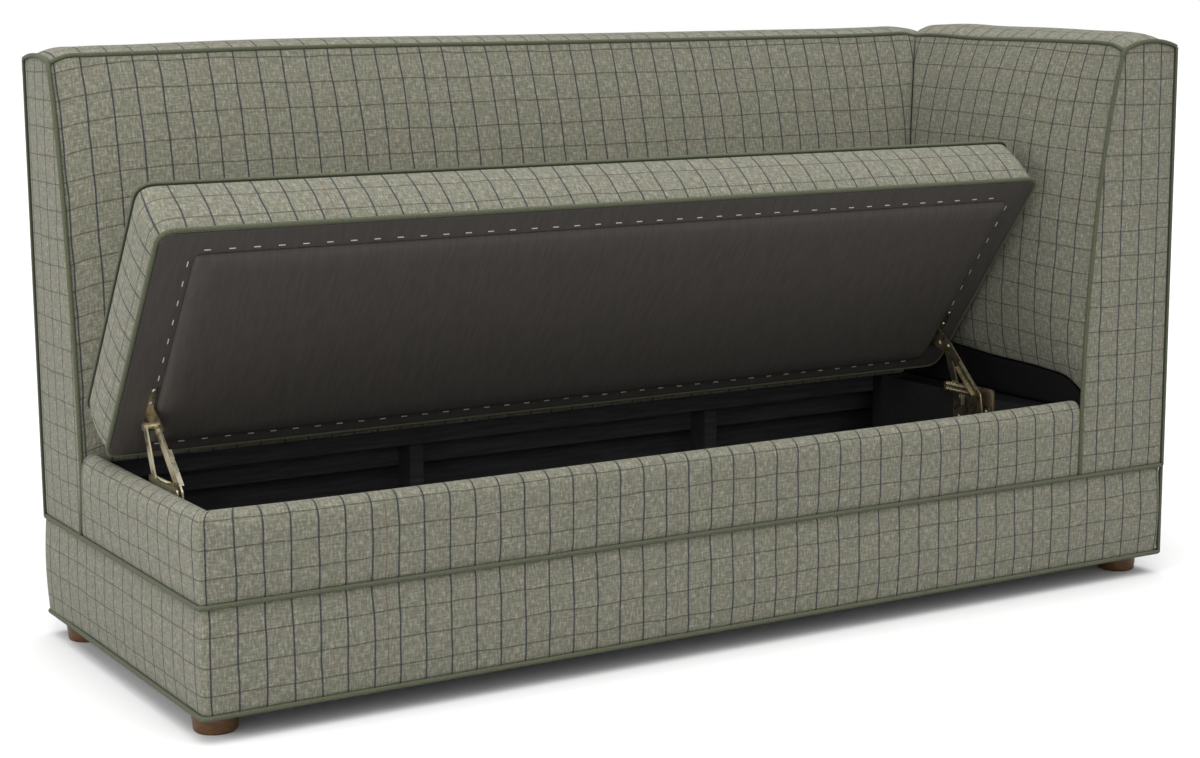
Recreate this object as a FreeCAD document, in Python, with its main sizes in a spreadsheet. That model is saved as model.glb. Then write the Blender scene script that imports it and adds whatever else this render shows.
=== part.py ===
import FreeCAD, Part
import math
import operator
import os
from types import SimpleNamespace

import Sketcher
from FreeCAD import Placement, Rotation, Vector

# Storage banquette: a padded box on low feet with a full-length back, one arm at the right end
# and a lifting seat. Origin on the floor at the middle of the length and depth, X to the right
# along the length, Y from the front to the rear, Z up.

# Driving sizes in millimetres, angles in degrees, and counts.
SIZES = {
    "length": 1830,
    "depth": 690,
    "foot_height": 34,
    "foot_top_diameter": 70,
    "foot_base_diameter": 64,
    "foot_edge_radius": 5,
    "foot_inset_end": 42,
    "foot_inset_side": 65,
    "foot_bolt_diameter": 8,
    "foot_bolt_in_foot": 20,
    "foot_bolt_in_block": 34,
    "bolt_clearance": 0.05,
    "dust_cloth": 1,
    "belt_height": 199,
    "box_height": 334,
    "cover": 2,
    "soft_gap": 0.4,
    "mitre_gap": 0.8,
    "wadding": 10,
    "panel": 22,
    "lining": 2,
    "corner_radius": 14,
    "piping_diameter": 7.6,
    "piping_stand_off": 0.5,
    "floor_rise": 40,
    "floor_board": 12,
    "corner_block": 60,
    "cleat": 30,
    "end_box_width": 246,
    "ledge": 18,
    "seat_rail_depth": 165,
    "seat_rail_height": 34,
    "lower_rail_low": 234,
    "lower_rail_height": 36,
    "post_width": 26,
    "post_depth": 45,
    "post_spacing": 610,
    "post_rake": 60,
    "post_top_depth": 38,
    "frame_height": 905,
    "top_rail": 20,
    "strap_width": 60,
    "strap_thickness": 2,
    "strap_count": 8,
    "outer_board": 4,
    "pad_seat_depth": 197,
    "pad_middle_depth": 175,
    "pad_top_depth": 124,
    "pad_middle_height": 650,
    "pad_top_height": 958,
    "pad_top_crown": 13,
    "pad_rear_drop": 5,
    "pad_bulge": 15,
    "end_droop": 20,
    "belt_setback": 17,
    "arm_lining_top": 390,
    "mitre_droop": 6,
    "lid_lift": 1,
    "lid_rear_gap": 38.3,
    "lid_front_overhang": 7.3,
    "lid_side_overhang": 4.5,
    "lid_arm_gap": 18,
    "lid_thickness": 108,
    "lid_board": 15,
    "lid_cloth": 1,
    "lid_corner_radius": 24,
    "lid_bulge": 6,
    "lid_crown": 14,
    "lid_crown_run": 190,
    "under_panel": 12,
    "under_panel_front": 46,
    "under_panel_rear": 32,
    "under_panel_hinge_gap": 22,
    "under_panel_radius": 10,
    "staple_pitch": 38,
    "staple_length": 10,
    "staple_wire": 1.2,
    "staple_set_out": 6,
    "lid_open_angle": 53.5,
    "front_arm_swing": 43.8,
    "rear_arm_swing": 62.0,
    "front_pivot_forward": 266.7,
    "front_pivot_drop": 80,
    "rear_pivot_forward": 190.7,
    "rear_pivot_drop": 27,
    "lid_front_pivot_forward": 97.7,
    "lid_front_pivot_drop": 40.1,
    "lid_rear_pivot_forward": 86.2,
    "lid_rear_pivot_drop": 19.2,
    "hinge_sheet": 2.5,
    "arm_sheet": 3,
    "arm_side_gap": 0.4,
    "arm_lid_gap": 0.5,
    "front_arm_width": 18,
    "front_arm_elbow_run": 60.5,
    "front_arm_elbow_out": 26,
    "front_arm_flange": 4.5,
    "front_arm_flange_wall": 2,
    "front_arm_flange_start": 8,
    "front_arm_flange_stop": 42,
    "rear_arm_width": 14,
    "rear_arm_root": 26,
    "pin_diameter": 7.9,
    "pin_head_diameter": 12,
    "pin_head": 2,
    "pin_clearance": 0.05,
    "open_pivot_clearance": 1.1,
    "base_plate_margin": 18,
    "base_plate_radius": 9,
    "base_screw_near": 4,
    "base_screw_far": 36,
    "spring_rise": 13,
    "spring_behind": 30,
    "spring_wire": 2,
    "spring_diameter": 8,
    "spring_turns": 20,
    "spring_row": 9,
    "spring_first": 9.8,
    "spring_tab_height": 7,
    "spring_front_run": 72,
    "bracket_flange": 10,
    "bracket_rear": 62,
    "bracket_front": 152,
    "bracket_web_margin": 10,
    "screw_diameter": 4,
    "screw_head_diameter": 7,
    "screw_head": 2,
    "screw_length": 16,
    "screw_clearance": 0.4,
}

doc = FreeCAD.newDocument("storage_banquette")
sheet = doc.addObject("Spreadsheet::Sheet", "Sizes")
for row, (name, value) in enumerate(SIZES.items(), start=1):
    sheet.set(f"A{row}", name)
    sheet.set(f"B{row}", str(value))
    sheet.setAlias(f"B{row}", name)
doc.recompute()

OPERATIONS = {"+": operator.add, "-": operator.sub, "*": operator.mul, "/": operator.truediv}


class Size:
    """A number together with the sheet formula that it comes from."""

    def __init__(self, value, text):
        self.value = float(value)
        self.text = text

    def __float__(self):
        return self.value

    def __add__(self, other):
        return combine(self, "+", other)

    def __radd__(self, other):
        return combine(other, "+", self)

    def __sub__(self, other):
        return combine(self, "-", other)

    def __rsub__(self, other):
        return combine(other, "-", self)

    def __mul__(self, other):
        return combine(self, "*", other)

    def __truediv__(self, other):
        return combine(self, "/", other)

    def __neg__(self):
        return combine(0, "-", self)


def as_size(number):
    """A plain number as a Size, or the Size itself."""
    if isinstance(number, Size):
        return number
    return Size(number, f"({float(number)})")


def hypotenuse(a, b):
    """The long side of a right-angled triangle, with its formula."""
    return Size(math.hypot(a.value, b.value), f"hypot({a.text}; {b.text})")


def combine(left, sign, right):
    """The sum, difference, product or quotient of two sizes, with its formula."""
    left = as_size(left)
    right = as_size(right)
    value = OPERATIONS[sign](left.value, right.value)
    return Size(value, f"({left.text} {sign} {right.text})")


s = SimpleNamespace(**{name: Size(sheet.get(name), f"Sizes.{name}") for name in SIZES})
nodes = []


def keep(piece, label):
    """Counts a finished sub-part, under the name of its file."""
    piece.Label = label
    nodes.append(piece)
    return piece


def box(name, x, y, z):
    """A rectangular board between two planes along each axis."""
    solid = doc.addObject("Part::Box", name)
    for side, (low, high) in zip(("Length", "Width", "Height"), (x, y, z)):
        solid.setExpression(side, (as_size(high) - low).text)
    for axis, (low, high) in zip("xyz", (x, y, z)):
        solid.setExpression("Placement.Base." + axis, as_size(low).text)
    return solid


def board(label, x, y, z):
    """A rectangular board that is a sub-part of its own."""
    return keep(box(label, x, y, z), label)


def cylinder(name, radius, x, y, z):
    """An upright round bar at x, y between two heights."""
    bar = doc.addObject("Part::Cylinder", name)
    bar.setExpression("Radius", as_size(radius).text)
    bar.setExpression("Height", (as_size(z[1]) - z[0]).text)
    for axis, place in zip("xyz", (x, y, z[0])):
        bar.setExpression("Placement.Base." + axis, as_size(place).text)
    return bar


def cut(name, base, tool):
    """One piece with another taken out of it."""
    result = doc.addObject("Part::Cut", name)
    result.Base = base
    result.Tool = tool
    return result


def group(label, pieces):
    """Several like pieces kept together as separate solids."""
    together = doc.addObject("Part::Compound", label)
    together.Links = pieces
    return keep(together, label)


def formed(label, shape, placement=None):
    """A sub-part whose shape is made from curves."""
    piece = doc.addObject("Part::Feature", label)
    piece.Shape = shape
    if placement is not None:
        piece.Placement = placement
    return keep(piece, label)


def sketch_on(body, role, name):
    """A sketch on one of the body's own origin planes."""
    plane = [p for p in body.Origin.OriginFeatures if p.Role == role][0]
    sketch = body.newObject("Sketcher::SketchObject", name)
    sketch.AttachmentSupport = [(plane, "")]
    sketch.MapMode = "FlatFace"
    return sketch


def hold(sketch, index, end, across, up):
    """Holds a sketch point at a distance across and up from the origin."""
    for kind, axis, place in (("DistanceX", -2, across), ("DistanceY", -1, up)):
        if float(place) == 0:
            sketch.addConstraint(Sketcher.Constraint("PointOnObject", index, end, axis))
            continue
        row = sketch.addConstraint(Sketcher.Constraint(kind, -1, 1, index, end, float(place)))
        sketch.setExpression(f"Constraints[{row}]", as_size(place).text)


def draw_outline(sketch, corners):
    """A closed outline of straight lines with its corners held by sheet formulas."""
    points = [Vector(float(across), float(up), 0) for across, up in corners]
    ends = points[1:] + points[:1]
    lines = [sketch.addGeometry(Part.LineSegment(a, b), False) for a, b in zip(points, ends)]
    for line, following in zip(lines, lines[1:] + lines[:1]):
        sketch.addConstraint(Sketcher.Constraint("Coincident", line, 2, following, 1))
    for line, (across, up) in zip(lines, corners):
        hold(sketch, line, 1, across, up)


def draw_hole(sketch, across, up, radius):
    """A round hole in an outline."""
    centre = Vector(float(across), float(up), 0)
    index = sketch.addGeometry(Part.Circle(centre, Vector(0, 0, 1), float(radius)), False)
    hold(sketch, index, 3, across, up)
    row = sketch.addConstraint(Sketcher.Constraint("Radius", index, float(radius)))
    sketch.setExpression(f"Constraints[{row}]", as_size(radius).text)


def pad(body, sketch, thickness, reverse=False):
    """The sketch given a thickness along its plane's normal."""
    solid = body.newObject("PartDesign::Pad", sketch.Name + "_pad")
    solid.Profile = sketch
    solid.setExpression("Length", as_size(thickness).text)
    solid.Reversed = reverse
    sketch.Visibility = False
    doc.recompute()
    return solid


def straight_edges_along(solid, axis):
    """Names of the straight edges that run along an axis."""
    found = []
    for number, edge in enumerate(solid.Shape.Edges, start=1):
        along = edge.Vertexes[-1].Point - edge.Vertexes[0].Point
        if along.Length > 1e-6 and abs(abs(along.normalize().dot(axis)) - 1) < 1e-6:
            found.append(f"Edge{number}")
    return found


def round_corners(body, solid, axis, radius):
    """All corners along an axis rounded to one radius."""
    rounding = body.newObject("PartDesign::Fillet", solid.Name + "_round")
    rounding.Base = (solid, straight_edges_along(solid, axis))
    rounding.setExpression("Radius", as_size(radius).text)
    doc.recompute()
    return rounding


ALONG_X = Vector(1, 0, 0)

# Planes of the box, counted from the middle: cover, wadding, panel, lining.
half_x = s.length / 2
half_y = s.depth / 2
skin = s.cover + s.wadding
panel_out_x = half_x - skin
panel_out_y = half_y - skin
panel_in_x = panel_out_x - s.panel
panel_in_y = panel_out_y - s.panel
lined_x = panel_in_x - s.lining
lined_y = panel_in_y - s.lining
wall_half = (skin + s.panel + s.lining) / 2
base_bottom = s.foot_height + s.dust_cloth
panel_top = s.box_height - wall_half
floor_low = base_bottom + s.floor_rise
floor_top = floor_low + s.floor_board
rail_front = half_y - s.seat_rail_depth
rail_back = rail_front + s.panel
post_back = rail_back + s.post_depth
hinge_board_left = half_x - s.end_box_width
hinge_board_right = hinge_board_left + s.panel
piping_radius = s.piping_diameter / 2
seam_half = piping_radius + s.soft_gap
pad_front_x = half_x - s.pad_seat_depth
pad_front_y = half_y - s.pad_seat_depth
upper_low = s.belt_height + seam_half

# Plywood box: four panels, floor, the board that carries the right hinge and the ledge under the arm.
panel_z = (base_bottom, panel_top)
group("box_panels", [
    box("panel_front", (-panel_out_x, panel_out_x), (-panel_out_y, -panel_in_y), panel_z),
    box("panel_rear", (-panel_out_x, panel_out_x), (panel_in_y, panel_out_y), panel_z),
    box("panel_left", (-panel_out_x, -panel_in_x), (-panel_in_y, panel_in_y), panel_z),
    box("panel_right", (panel_in_x, panel_out_x), (-panel_in_y, panel_in_y), panel_z),
])
ledge_low = panel_top - s.ledge
board("floor_board", (-panel_in_x, panel_in_x), (-panel_in_y, panel_in_y), (floor_low, floor_top))
board("hinge_board", (hinge_board_left, hinge_board_right), (-panel_in_y, rail_front), (floor_top, ledge_low))
board("arm_ledge", (hinge_board_left, panel_in_x), (-panel_in_y, rail_front), (ledge_low, panel_top))

# Feet, their bolts, the blocks that take them and the dust cloth under the box.
foot_x = half_x - s.foot_inset_end
foot_y = half_y - s.foot_inset_side
bolt_radius = s.foot_bolt_diameter / 2
bolt_hole = bolt_radius + s.bolt_clearance
bolt_low = s.foot_height - s.foot_bolt_in_foot
bolt_top = base_bottom + s.foot_bolt_in_block
CORNERS = {
    "front_left": (-1, -1),
    "front_right": (1, -1),
    "rear_left": (-1, 1),
    "rear_right": (1, 1),
}


def turned_foot(label, x, y):
    """A low round foot, a little narrower at the floor, with a blind hole for its bolt."""
    body = doc.addObject("PartDesign::Body", label)
    sketch = sketch_on(body, "XZ_Plane", label + "_profile")
    draw_outline(sketch, [
        (0, 0),
        (s.foot_base_diameter / 2, 0),
        (s.foot_top_diameter / 2, s.foot_height),
        (bolt_hole, s.foot_height),
        (bolt_hole, bolt_low),
        (0, bolt_low),
    ])
    lathe = body.newObject("PartDesign::Revolution", label + "_turned")
    lathe.Profile = sketch
    lathe.ReferenceAxis = (sketch, ["V_Axis"])
    lathe.Angle = 360
    sketch.Visibility = False
    doc.recompute()
    rim = [f"Edge{n}" for n, edge in enumerate(lathe.Shape.Edges, start=1)
           if edge.BoundBox.ZMax < 1e-6 and edge.BoundBox.XLength > float(s.foot_base_diameter) / 2]
    rounded = body.newObject("PartDesign::Fillet", label + "_edge")
    rounded.Base = (lathe, rim)
    rounded.setExpression("Radius", s.foot_edge_radius.text)
    body.setExpression("Placement.Base.x", x.text)
    body.setExpression("Placement.Base.y", y.text)
    return keep(body, label)


blocks = []
bolts = []
dust_holes = []
for corner, (side, end) in CORNERS.items():
    x = foot_x * side
    y = foot_y * end
    turned_foot("foot_" + corner, x, y)
    x_faces = sorted([panel_in_x * side, (panel_in_x - s.corner_block) * side], key=float)
    y_faces = sorted([panel_in_y * end, (panel_in_y - s.corner_block) * end], key=float)
    block = box("block_" + corner, x_faces, y_faces, (base_bottom, floor_low))
    bore = cylinder("block_bore_" + corner, bolt_hole, x, y, (base_bottom - 1, floor_low + 1))
    blocks.append(cut("bored_block_" + corner, block, bore))
    bolts.append(cylinder("bolt_" + corner, bolt_radius, x, y, (bolt_low, bolt_top)))
    dust_holes.append(cylinder("dust_hole_" + corner, bolt_hole, x, y, (s.foot_height - 1, base_bottom + 1)))
group("corner_blocks", blocks)
group("foot_bolts", bolts)
dust_sheet = box("dust_sheet", (-panel_out_x, panel_out_x), (-panel_out_y, panel_out_y),
                 (s.foot_height, base_bottom))
dust_tool = doc.addObject("Part::Compound", "dust_holes")
dust_tool.Links = dust_holes
keep(cut("dust_cloth", dust_sheet, dust_tool), "dust_cloth")

cleat_x = panel_in_x - s.corner_block
cleat_y = panel_in_y - s.corner_block
cleat_z = (floor_low - s.cleat, floor_low)
group("floor_cleats", [
    box("cleat_front", (-cleat_x, cleat_x), (-panel_in_y, -panel_in_y + s.cleat), cleat_z),
    box("cleat_rear", (-cleat_x, cleat_x), (panel_in_y - s.cleat, panel_in_y), cleat_z),
    box("cleat_left", (-panel_in_x, -panel_in_x + s.cleat), (-cleat_y, cleat_y), cleat_z),
    box("cleat_right", (panel_in_x - s.cleat, panel_in_x), (-cleat_y, cleat_y), cleat_z),
])

# Black lining of the storage: floor, front, left and right faces.
hinge_face_left = -lined_x
hinge_face_right = hinge_board_left - s.lining
lined_floor = floor_top + s.lining
lining_z = (floor_top, panel_top)
group("storage_lining", [
    box("lining_floor", (hinge_face_left, hinge_face_right), (-lined_y, rail_front), (floor_top, lined_floor)),
    box("lining_front", (-lined_x, hinge_board_left), (-panel_in_y, -lined_y), lining_z),
    box("lining_left", (-panel_in_x, -lined_x), (-panel_in_y, rail_front), lining_z),
    box("lining_right", (hinge_face_right, hinge_board_left), (-lined_y, rail_front), lining_z),
])

# Back frame: rails across the rear of the storage, raked posts, top rail, webbing and rear board.
frame_top = s.frame_height
rail_top = frame_top + s.top_rail
rake_front = rail_back + s.post_rake
rake_rear = rake_front + s.post_top_depth
whole_x = (-panel_in_x, panel_in_x)
board("seat_rail", whole_x, (rail_front, rail_back), (panel_top - s.seat_rail_height, panel_top))
board("lower_rail", whole_x, (post_back, post_back + s.panel),
      (s.lower_rail_low, s.lower_rail_low + s.lower_rail_height))
board("back_top_rail", whole_x, (rake_front, rake_rear), (frame_top, rail_top))
board_inset = s.cover + s.outer_board
board("back_rear_board", (-panel_out_x, panel_out_x), (half_y - board_inset, half_y - s.cover),
      (upper_low, frame_top))


def leaning_post(name, plane, corners, axis, place):
    """A post cut from board to a leaning outline, standing at a place along the wall."""
    body = doc.addObject("PartDesign::Body", name)
    sketch = sketch_on(body, plane, name + "_side")
    draw_outline(sketch, corners)
    pad(body, sketch, s.post_width)
    body.setExpression("Placement.Base." + axis, place.text)
    return body


half_post = s.post_width / 2
half_spacing = s.post_spacing / 2
BACK_POST = [
    (rail_back, floor_top),
    (post_back, floor_top),
    (post_back, panel_top),
    (rake_rear, frame_top),
    (rake_front, frame_top),
    (rail_back, panel_top),
]
back_post_places = [
    -panel_in_x,
    -half_spacing - half_post,
    half_spacing - half_post,
    panel_in_x - s.post_width,
]
group("back_posts", [leaning_post(f"back_post_{number}", "YZ_Plane", BACK_POST, "x", place)
                     for number, place in enumerate(back_post_places, start=1)])

rake_height = frame_top - panel_top
rake_angle = math.degrees(math.atan2(float(s.post_rake), float(rake_height)))
lean = Rotation(ALONG_X, -rake_angle)
strap_corner = lean.multVec(Vector(0, -float(s.strap_thickness), 1))
strap_foot = Vector(0, float(rail_back), float(panel_top)) + strap_corner
strap_length = hypotenuse(s.post_rake, rake_height) - 2
strap_count = int(float(s.strap_count))
strap_span = 2 * float(panel_in_x - s.post_width)
straps = []
for number in range(strap_count):
    strap = doc.addObject("Part::Box", f"strap_{number + 1}")
    strap.setExpression("Length", s.strap_width.text)
    strap.setExpression("Width", s.strap_thickness.text)
    strap.setExpression("Height", strap_length.text)
    middle = strap_span * ((number + 0.5) / strap_count - 0.5)
    strap.Placement = Placement(strap_foot + ALONG_X * (middle - float(s.strap_width) / 2), lean)
    straps.append(strap)
group("back_webbing", straps)

# Arm frame, the back's own section turned to the right end: two posts on the ledge, rail and outer board.
to_arm = half_x - half_y
ARM_POST = [(across + to_arm, up) for across, up in BACK_POST[2:] if float(up) > float(floor_top)]
arm_post_places = [-panel_in_y + s.post_width, pad_front_y - s.post_width]
group("arm_posts", [leaning_post(f"arm_post_{number}", "XZ_Plane", ARM_POST, "y", place)
                    for number, place in enumerate(arm_post_places, start=1)])
board("arm_top_rail", (rake_front + to_arm, rake_rear + to_arm), (-panel_in_y, pad_front_y),
      (frame_top, rail_top))
board("arm_outer_board", (half_x - board_inset, half_x - s.cover), (-panel_out_y, panel_out_y),
      (upper_low, frame_top))

# Soft walls. A section is given by its depth from the wall's outer face and its height.
cover = float(s.cover)
gap = float(s.soft_gap)
stand_off = float(s.piping_stand_off)
cord = float(piping_radius)
hx = float(half_x)
hy = float(half_y)
seam = float(seam_half)
seat_z = float(panel_top)
belt = float(s.belt_height)
arm_face = float(pad_front_x)
back_face = float(pad_front_y)
UP = Vector(0, 0, 1)


def on_back(run, depth, height):
    """A point of the back: run along the length, depth from the rear face."""
    return Vector(run, hy - depth, height)


def on_arm(run, depth, height):
    """A point of the arm: run from front to rear, depth from the right face."""
    return Vector(hx - depth, run, height)


def line(a, b):
    return Part.LineSegment(a, b).toShape()


def arc(a, middle, b):
    return Part.Arc(a, middle, b).toShape()


def polygon(points):
    return Part.makePolygon(points + points[:1])


def trimmed(points, start, stop):
    """Three points of the part of an arc between two shares of its length."""
    curve = Part.Arc(*points)
    first = curve.FirstParameter
    span = curve.LastParameter - first
    return [curve.value(first + span * share) for share in (start, (start + stop) / 2, stop)]


def tangent_arc(a, along, b):
    """The arc from a, leaving along a direction, to b."""
    chord = b - a
    unit = Vector(chord).normalize()
    aside = along - unit * along.dot(unit)
    if aside.Length < 1e-9:
        return line(a, b)
    bend = math.acos(max(-1.0, min(1.0, along.dot(unit))))
    middle = (a + b) * 0.5 + aside.normalize() * (chord.Length / 2 * math.tan(bend / 2))
    return arc(a, middle, b)


def loft(wires):
    return Part.makeLoft(wires, True, False)


def tube(edges, radius):
    """A round cord along a run of lines and arcs that flow into each other."""
    path = Part.Wire(edges)
    first = path.Edges[0]
    start = first.valueAt(first.FirstParameter)
    along = first.tangentAt(first.FirstParameter)
    return path.makePipe(Part.Face(Part.Wire([Part.Circle(start, along, radius).toShape()])))


def wall_points(place, run, swell, drop, inset):
    """Front foot, front middle, front top, crown, rear top and rear foot of a padded wall's section."""
    top = float(s.pad_top_height) - drop - inset
    rear = cover + inset
    front_top = float(s.pad_top_depth) - inset
    return [
        place(run, float(s.pad_seat_depth) - inset, seat_z),
        place(run, float(s.pad_middle_depth) + swell - inset, float(s.pad_middle_height)),
        place(run, front_top, top),
        place(run, (front_top + rear) / 2, top + float(s.pad_top_crown)),
        place(run, rear, top - float(s.pad_rear_drop)),
        place(run, rear, seat_z),
    ]


def foam_wire(place, run, swell, drop):
    foot, middle, top, crown, rear, heel = wall_points(place, run, swell, drop, cover + 2 * gap)
    return Part.Wire([arc(foot, middle, top), arc(top, crown, rear), line(rear, heel), line(heel, foot)])


def skin_wire(outer, inner, start, stop):
    """The closed section of a thin cover between two arcs."""
    a = trimmed(outer, start, stop)
    b = trimmed(inner, start, stop)
    return Part.Wire([arc(*a), line(a[2], b[2]), arc(*reversed(b)), line(b[0], a[0])])


def ring_wire(centre, across, radius):
    """An upright round section as four quarter arcs."""
    def at(eighth):
        turn = math.pi / 4 * eighth
        return centre + across * (radius * math.cos(turn)) + UP * (radius * math.sin(turn))

    return Part.Wire([arc(at(2 * q), at(2 * q + 1), at(2 * q + 2)) for q in range(4)])


def stations(low, corner_face, corner_top, high, shares):
    """Sections along a wall from its free end to the mitre: run, swell of the face, drop of the top."""
    droop = float(s.end_droop)
    sag = float(s.mitre_droop)
    found = [(low + share * (corner_face - low), swell * float(s.pad_bulge), drop * droop)
             for share, swell, drop in shares]
    return found + [(corner_face, 0.0, sag / 3), (corner_top, 0.0, sag), (high, 0.0, sag)]


# Share of the run from the free end to the inner corner, share of the swell, share of the droop.
BACK_SHARES = [(0.0, 0.0, 1.0), (0.05, 0.4, 0.6), (0.18, 0.85, 0.2), (0.55, 1.0, 0.0), (0.86, 0.75, 0.0)]
ARM_SHARES = [(0.0, 0.0, 1.0), (0.16, 0.45, 0.5), (0.5, 1.0, 0.0), (0.82, 0.6, 0.0)]
end_gap = cover + gap
arm_top_inner = hx - float(s.pad_top_depth)
back_top_front = hy - float(s.pad_top_depth)
back_runs = stations(-hx + end_gap, arm_face, arm_top_inner, hx - end_gap, BACK_SHARES)
arm_runs = stations(-hy + end_gap, back_face, back_top_front, hy - end_gap, ARM_SHARES)


def from_seam(runs):
    """The same sections with the first one moved in from the free end's cord."""
    (run, swell, drop), *others = runs
    return [(run + seam, swell, drop)] + others


def past_mitre(for_arm):
    """The space beyond the mitre where the arm and the back meet."""
    reach = 400.0
    over = 20.0
    apart = float(s.mitre_gap)
    if for_arm:
        corners = [(hx + over, hy + over - apart), (hx - reach, hy - reach - apart),
                   (hx - reach, hy + reach), (hx + over, hy + reach)]
    else:
        corners = [(hx + over - apart, hy + over), (hx - reach - apart, hy - reach),
                   (hx + reach, hy - reach), (hx + reach, hy + over)]
    face = Part.Face(polygon([Vector(x, y, 0) for x, y in corners]))
    return face.extrude(UP * (2 * float(s.pad_top_height)))


def frame_space(place, low, high):
    """The room for the frame behind a wall's foam."""
    in_front = s.strap_thickness + s.soft_gap
    low_depth = float(half_y - rail_back + in_front)
    top_depth = float(half_y - rake_front + in_front)
    beyond = -1.0
    below = seat_z - 1
    top = float(rail_top) + gap
    corners = [(low_depth, below), (low_depth, seat_z), (top_depth, float(frame_top)), (top_depth, top),
               (beyond, top), (beyond, below)]
    face = Part.Face(polygon([place(low, depth, height) for depth, height in corners]))
    return face.extrude(place(high, 0, 0) - place(low, 0, 0))


def skins(place, runs, points, starts, stops):
    """A thin cover through a wall's sections, over three of their points, between shares of their arc."""
    wires = []
    for (run, swell, drop), start, stop in zip(runs, starts, stops):
        outer = wall_points(place, run, swell, drop, 0.0)[points]
        inner = wall_points(place, run, swell, drop, cover)[points]
        wires.append(skin_wire(outer, inner, start, stop))
    return loft(wires)


def edge_cord(place, runs, point, low, high):
    """The cord along a wall's front or rear top edge between two runs."""
    across = place(0, 1, 0) - place(0, 0, 0)
    out = across * (stand_off if point == FRONT_TOP else -stand_off) + UP * stand_off
    edge = [wall_points(place, run, swell, drop, 0.0)[point] for run, swell, drop in runs]
    rings = [ring_wire(corner + out, across, cord) for corner in edge]
    size = 4 * hx
    a = place(low, size, -size)
    b = place(high, -size, size)
    corner = Vector(min(a.x, b.x), min(a.y, b.y), -size)
    window = Part.makeBox(abs(b.x - a.x), abs(b.y - a.y), 2 * size, corner)
    return loft(rings).common(window)


FRONT_FACE = slice(0, 3)
TOP_FACE = slice(2, 5)
FRONT_TOP = 2
REAR_TOP = 4
face_rise = float(s.pad_top_height) - seat_z
front_edge = (seam + 1.5) / face_rise
top_edge = (seam + 1.5) / float(s.pad_top_depth)
FOOT_SHARE = 0.012
lining_share = (float(s.arm_lining_top) - seat_z) / face_rise
HEM_SHARES = [0.76, 0.9]

back_mitre = past_mitre(False)
arm_mitre = past_mitre(True)
back_foam = loft([foam_wire(on_back, *run) for run in back_runs])
formed("back_foam", back_foam.cut(frame_space(on_back, -hx - 1, hx + 1)).cut(back_mitre))
back_skin_runs = from_seam(back_runs)
back_count = len(back_runs)
arm_count = len(arm_runs)
back_face_cover = skins(on_back, back_skin_runs, FRONT_FACE, [FOOT_SHARE] * back_count,
                        [1 - front_edge] * back_count)
formed("back_inside_cover", back_face_cover.cut(back_mitre))
back_top = skins(on_back, back_skin_runs, TOP_FACE, [top_edge] * back_count, [1 - top_edge] * back_count)
formed("back_top_boxing", back_top.cut(back_mitre))

arm_foam = loft([foam_wire(on_arm, *run) for run in arm_runs])
formed("arm_foam", arm_foam.cut(frame_space(on_arm, -hy - 1, hy + 1)).cut(arm_mitre))
arm_skin_runs = from_seam(arm_runs)
hem_starts = [FOOT_SHARE] + [lining_share * share for share in HEM_SHARES]
hem_starts += [lining_share] * (arm_count - len(hem_starts))
arm_face_cover = skins(on_arm, arm_skin_runs, FRONT_FACE, hem_starts, [1 - front_edge] * arm_count)
formed("arm_inside_cover", arm_face_cover.cut(arm_mitre))
arm_top = skins(on_arm, arm_skin_runs, TOP_FACE, [top_edge] * arm_count, [1 - top_edge] * arm_count)
formed("arm_top_boxing", arm_top.cut(arm_mitre))
strip_stops = [start - FOOT_SHARE / 3 for start in hem_starts]
arm_strip = skins(on_arm, arm_skin_runs, FRONT_FACE, [FOOT_SHARE / 3] * arm_count, strip_stops)
formed("arm_lining", arm_strip.cut(arm_mitre))


# Flat panels that close the free ends of the back and the arm, from the belt to the crowned top.
def end_points(place, run, setback, inset):
    """Corners of an end panel; a cord outside it, at an inset below zero, starts a little higher."""
    foot, middle, top, crown, rear, heel = wall_points(place, run, 0.0, float(s.end_droop), inset)
    low = float(upper_low) + (cord if inset < 0 else 0)
    toe = place(run, float(s.pad_seat_depth) - setback - inset, low)
    rear = place(run, cover + inset, rear.z)
    heel = place(run, cover + inset, low)
    return foot, middle, top, crown, rear, heel, toe


def lower_edge(foot, middle, top, toe):
    """The front edge below the seat, flowing out of the arc above it."""
    above = arc(foot, middle, top)
    return tangent_arc(foot, above.tangentAt(above.FirstParameter) * -1, toe)


def end_panel(place, run, setback, inward_step):
    foot, middle, top, crown, rear, heel, toe = end_points(place, run, setback, seam + gap)
    wire = Part.Wire([arc(foot, middle, top), arc(top, crown, rear), line(rear, heel), line(heel, toe),
                      lower_edge(foot, middle, top, toe)])
    return Part.Face(wire).extrude(inward_step * cover)


def end_cords(place, run, setback):
    """The cords up the front edge of an end panel, over its crowned top and up its outer corner."""
    foot, middle, top, crown, rear, heel, toe = end_points(place, run, setback, -stand_off)
    over = trimmed((top, crown, rear), (cord + gap) / float(s.pad_top_depth), 1 - top_edge)
    front = Part.Wire(Part.__sortEdges__([lower_edge(foot, middle, top, toe), arc(foot, middle, top)]))
    return [tube(front.Edges, cord), tube([arc(*over)], cord), tube([line(heel, rear)], cord)]


def past_end(place, run, setback, reach):
    """The space of an end panel and its cord, which the low wall beside it stops at."""
    foot, middle, top, crown, rear, heel, toe = end_points(place, run, setback, -seam - 1)
    high = foot + UP * 200
    low = toe - UP * 100
    back = place(run, 0, 0) - place(run, 500, 0)
    wire = Part.Wire([lower_edge(foot, middle, top, toe), line(foot, high), line(high, high + back),
                      line(high + back, low + back), line(low + back, low), line(low, toe)])
    return Part.Face(wire).extrude(reach)


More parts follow.
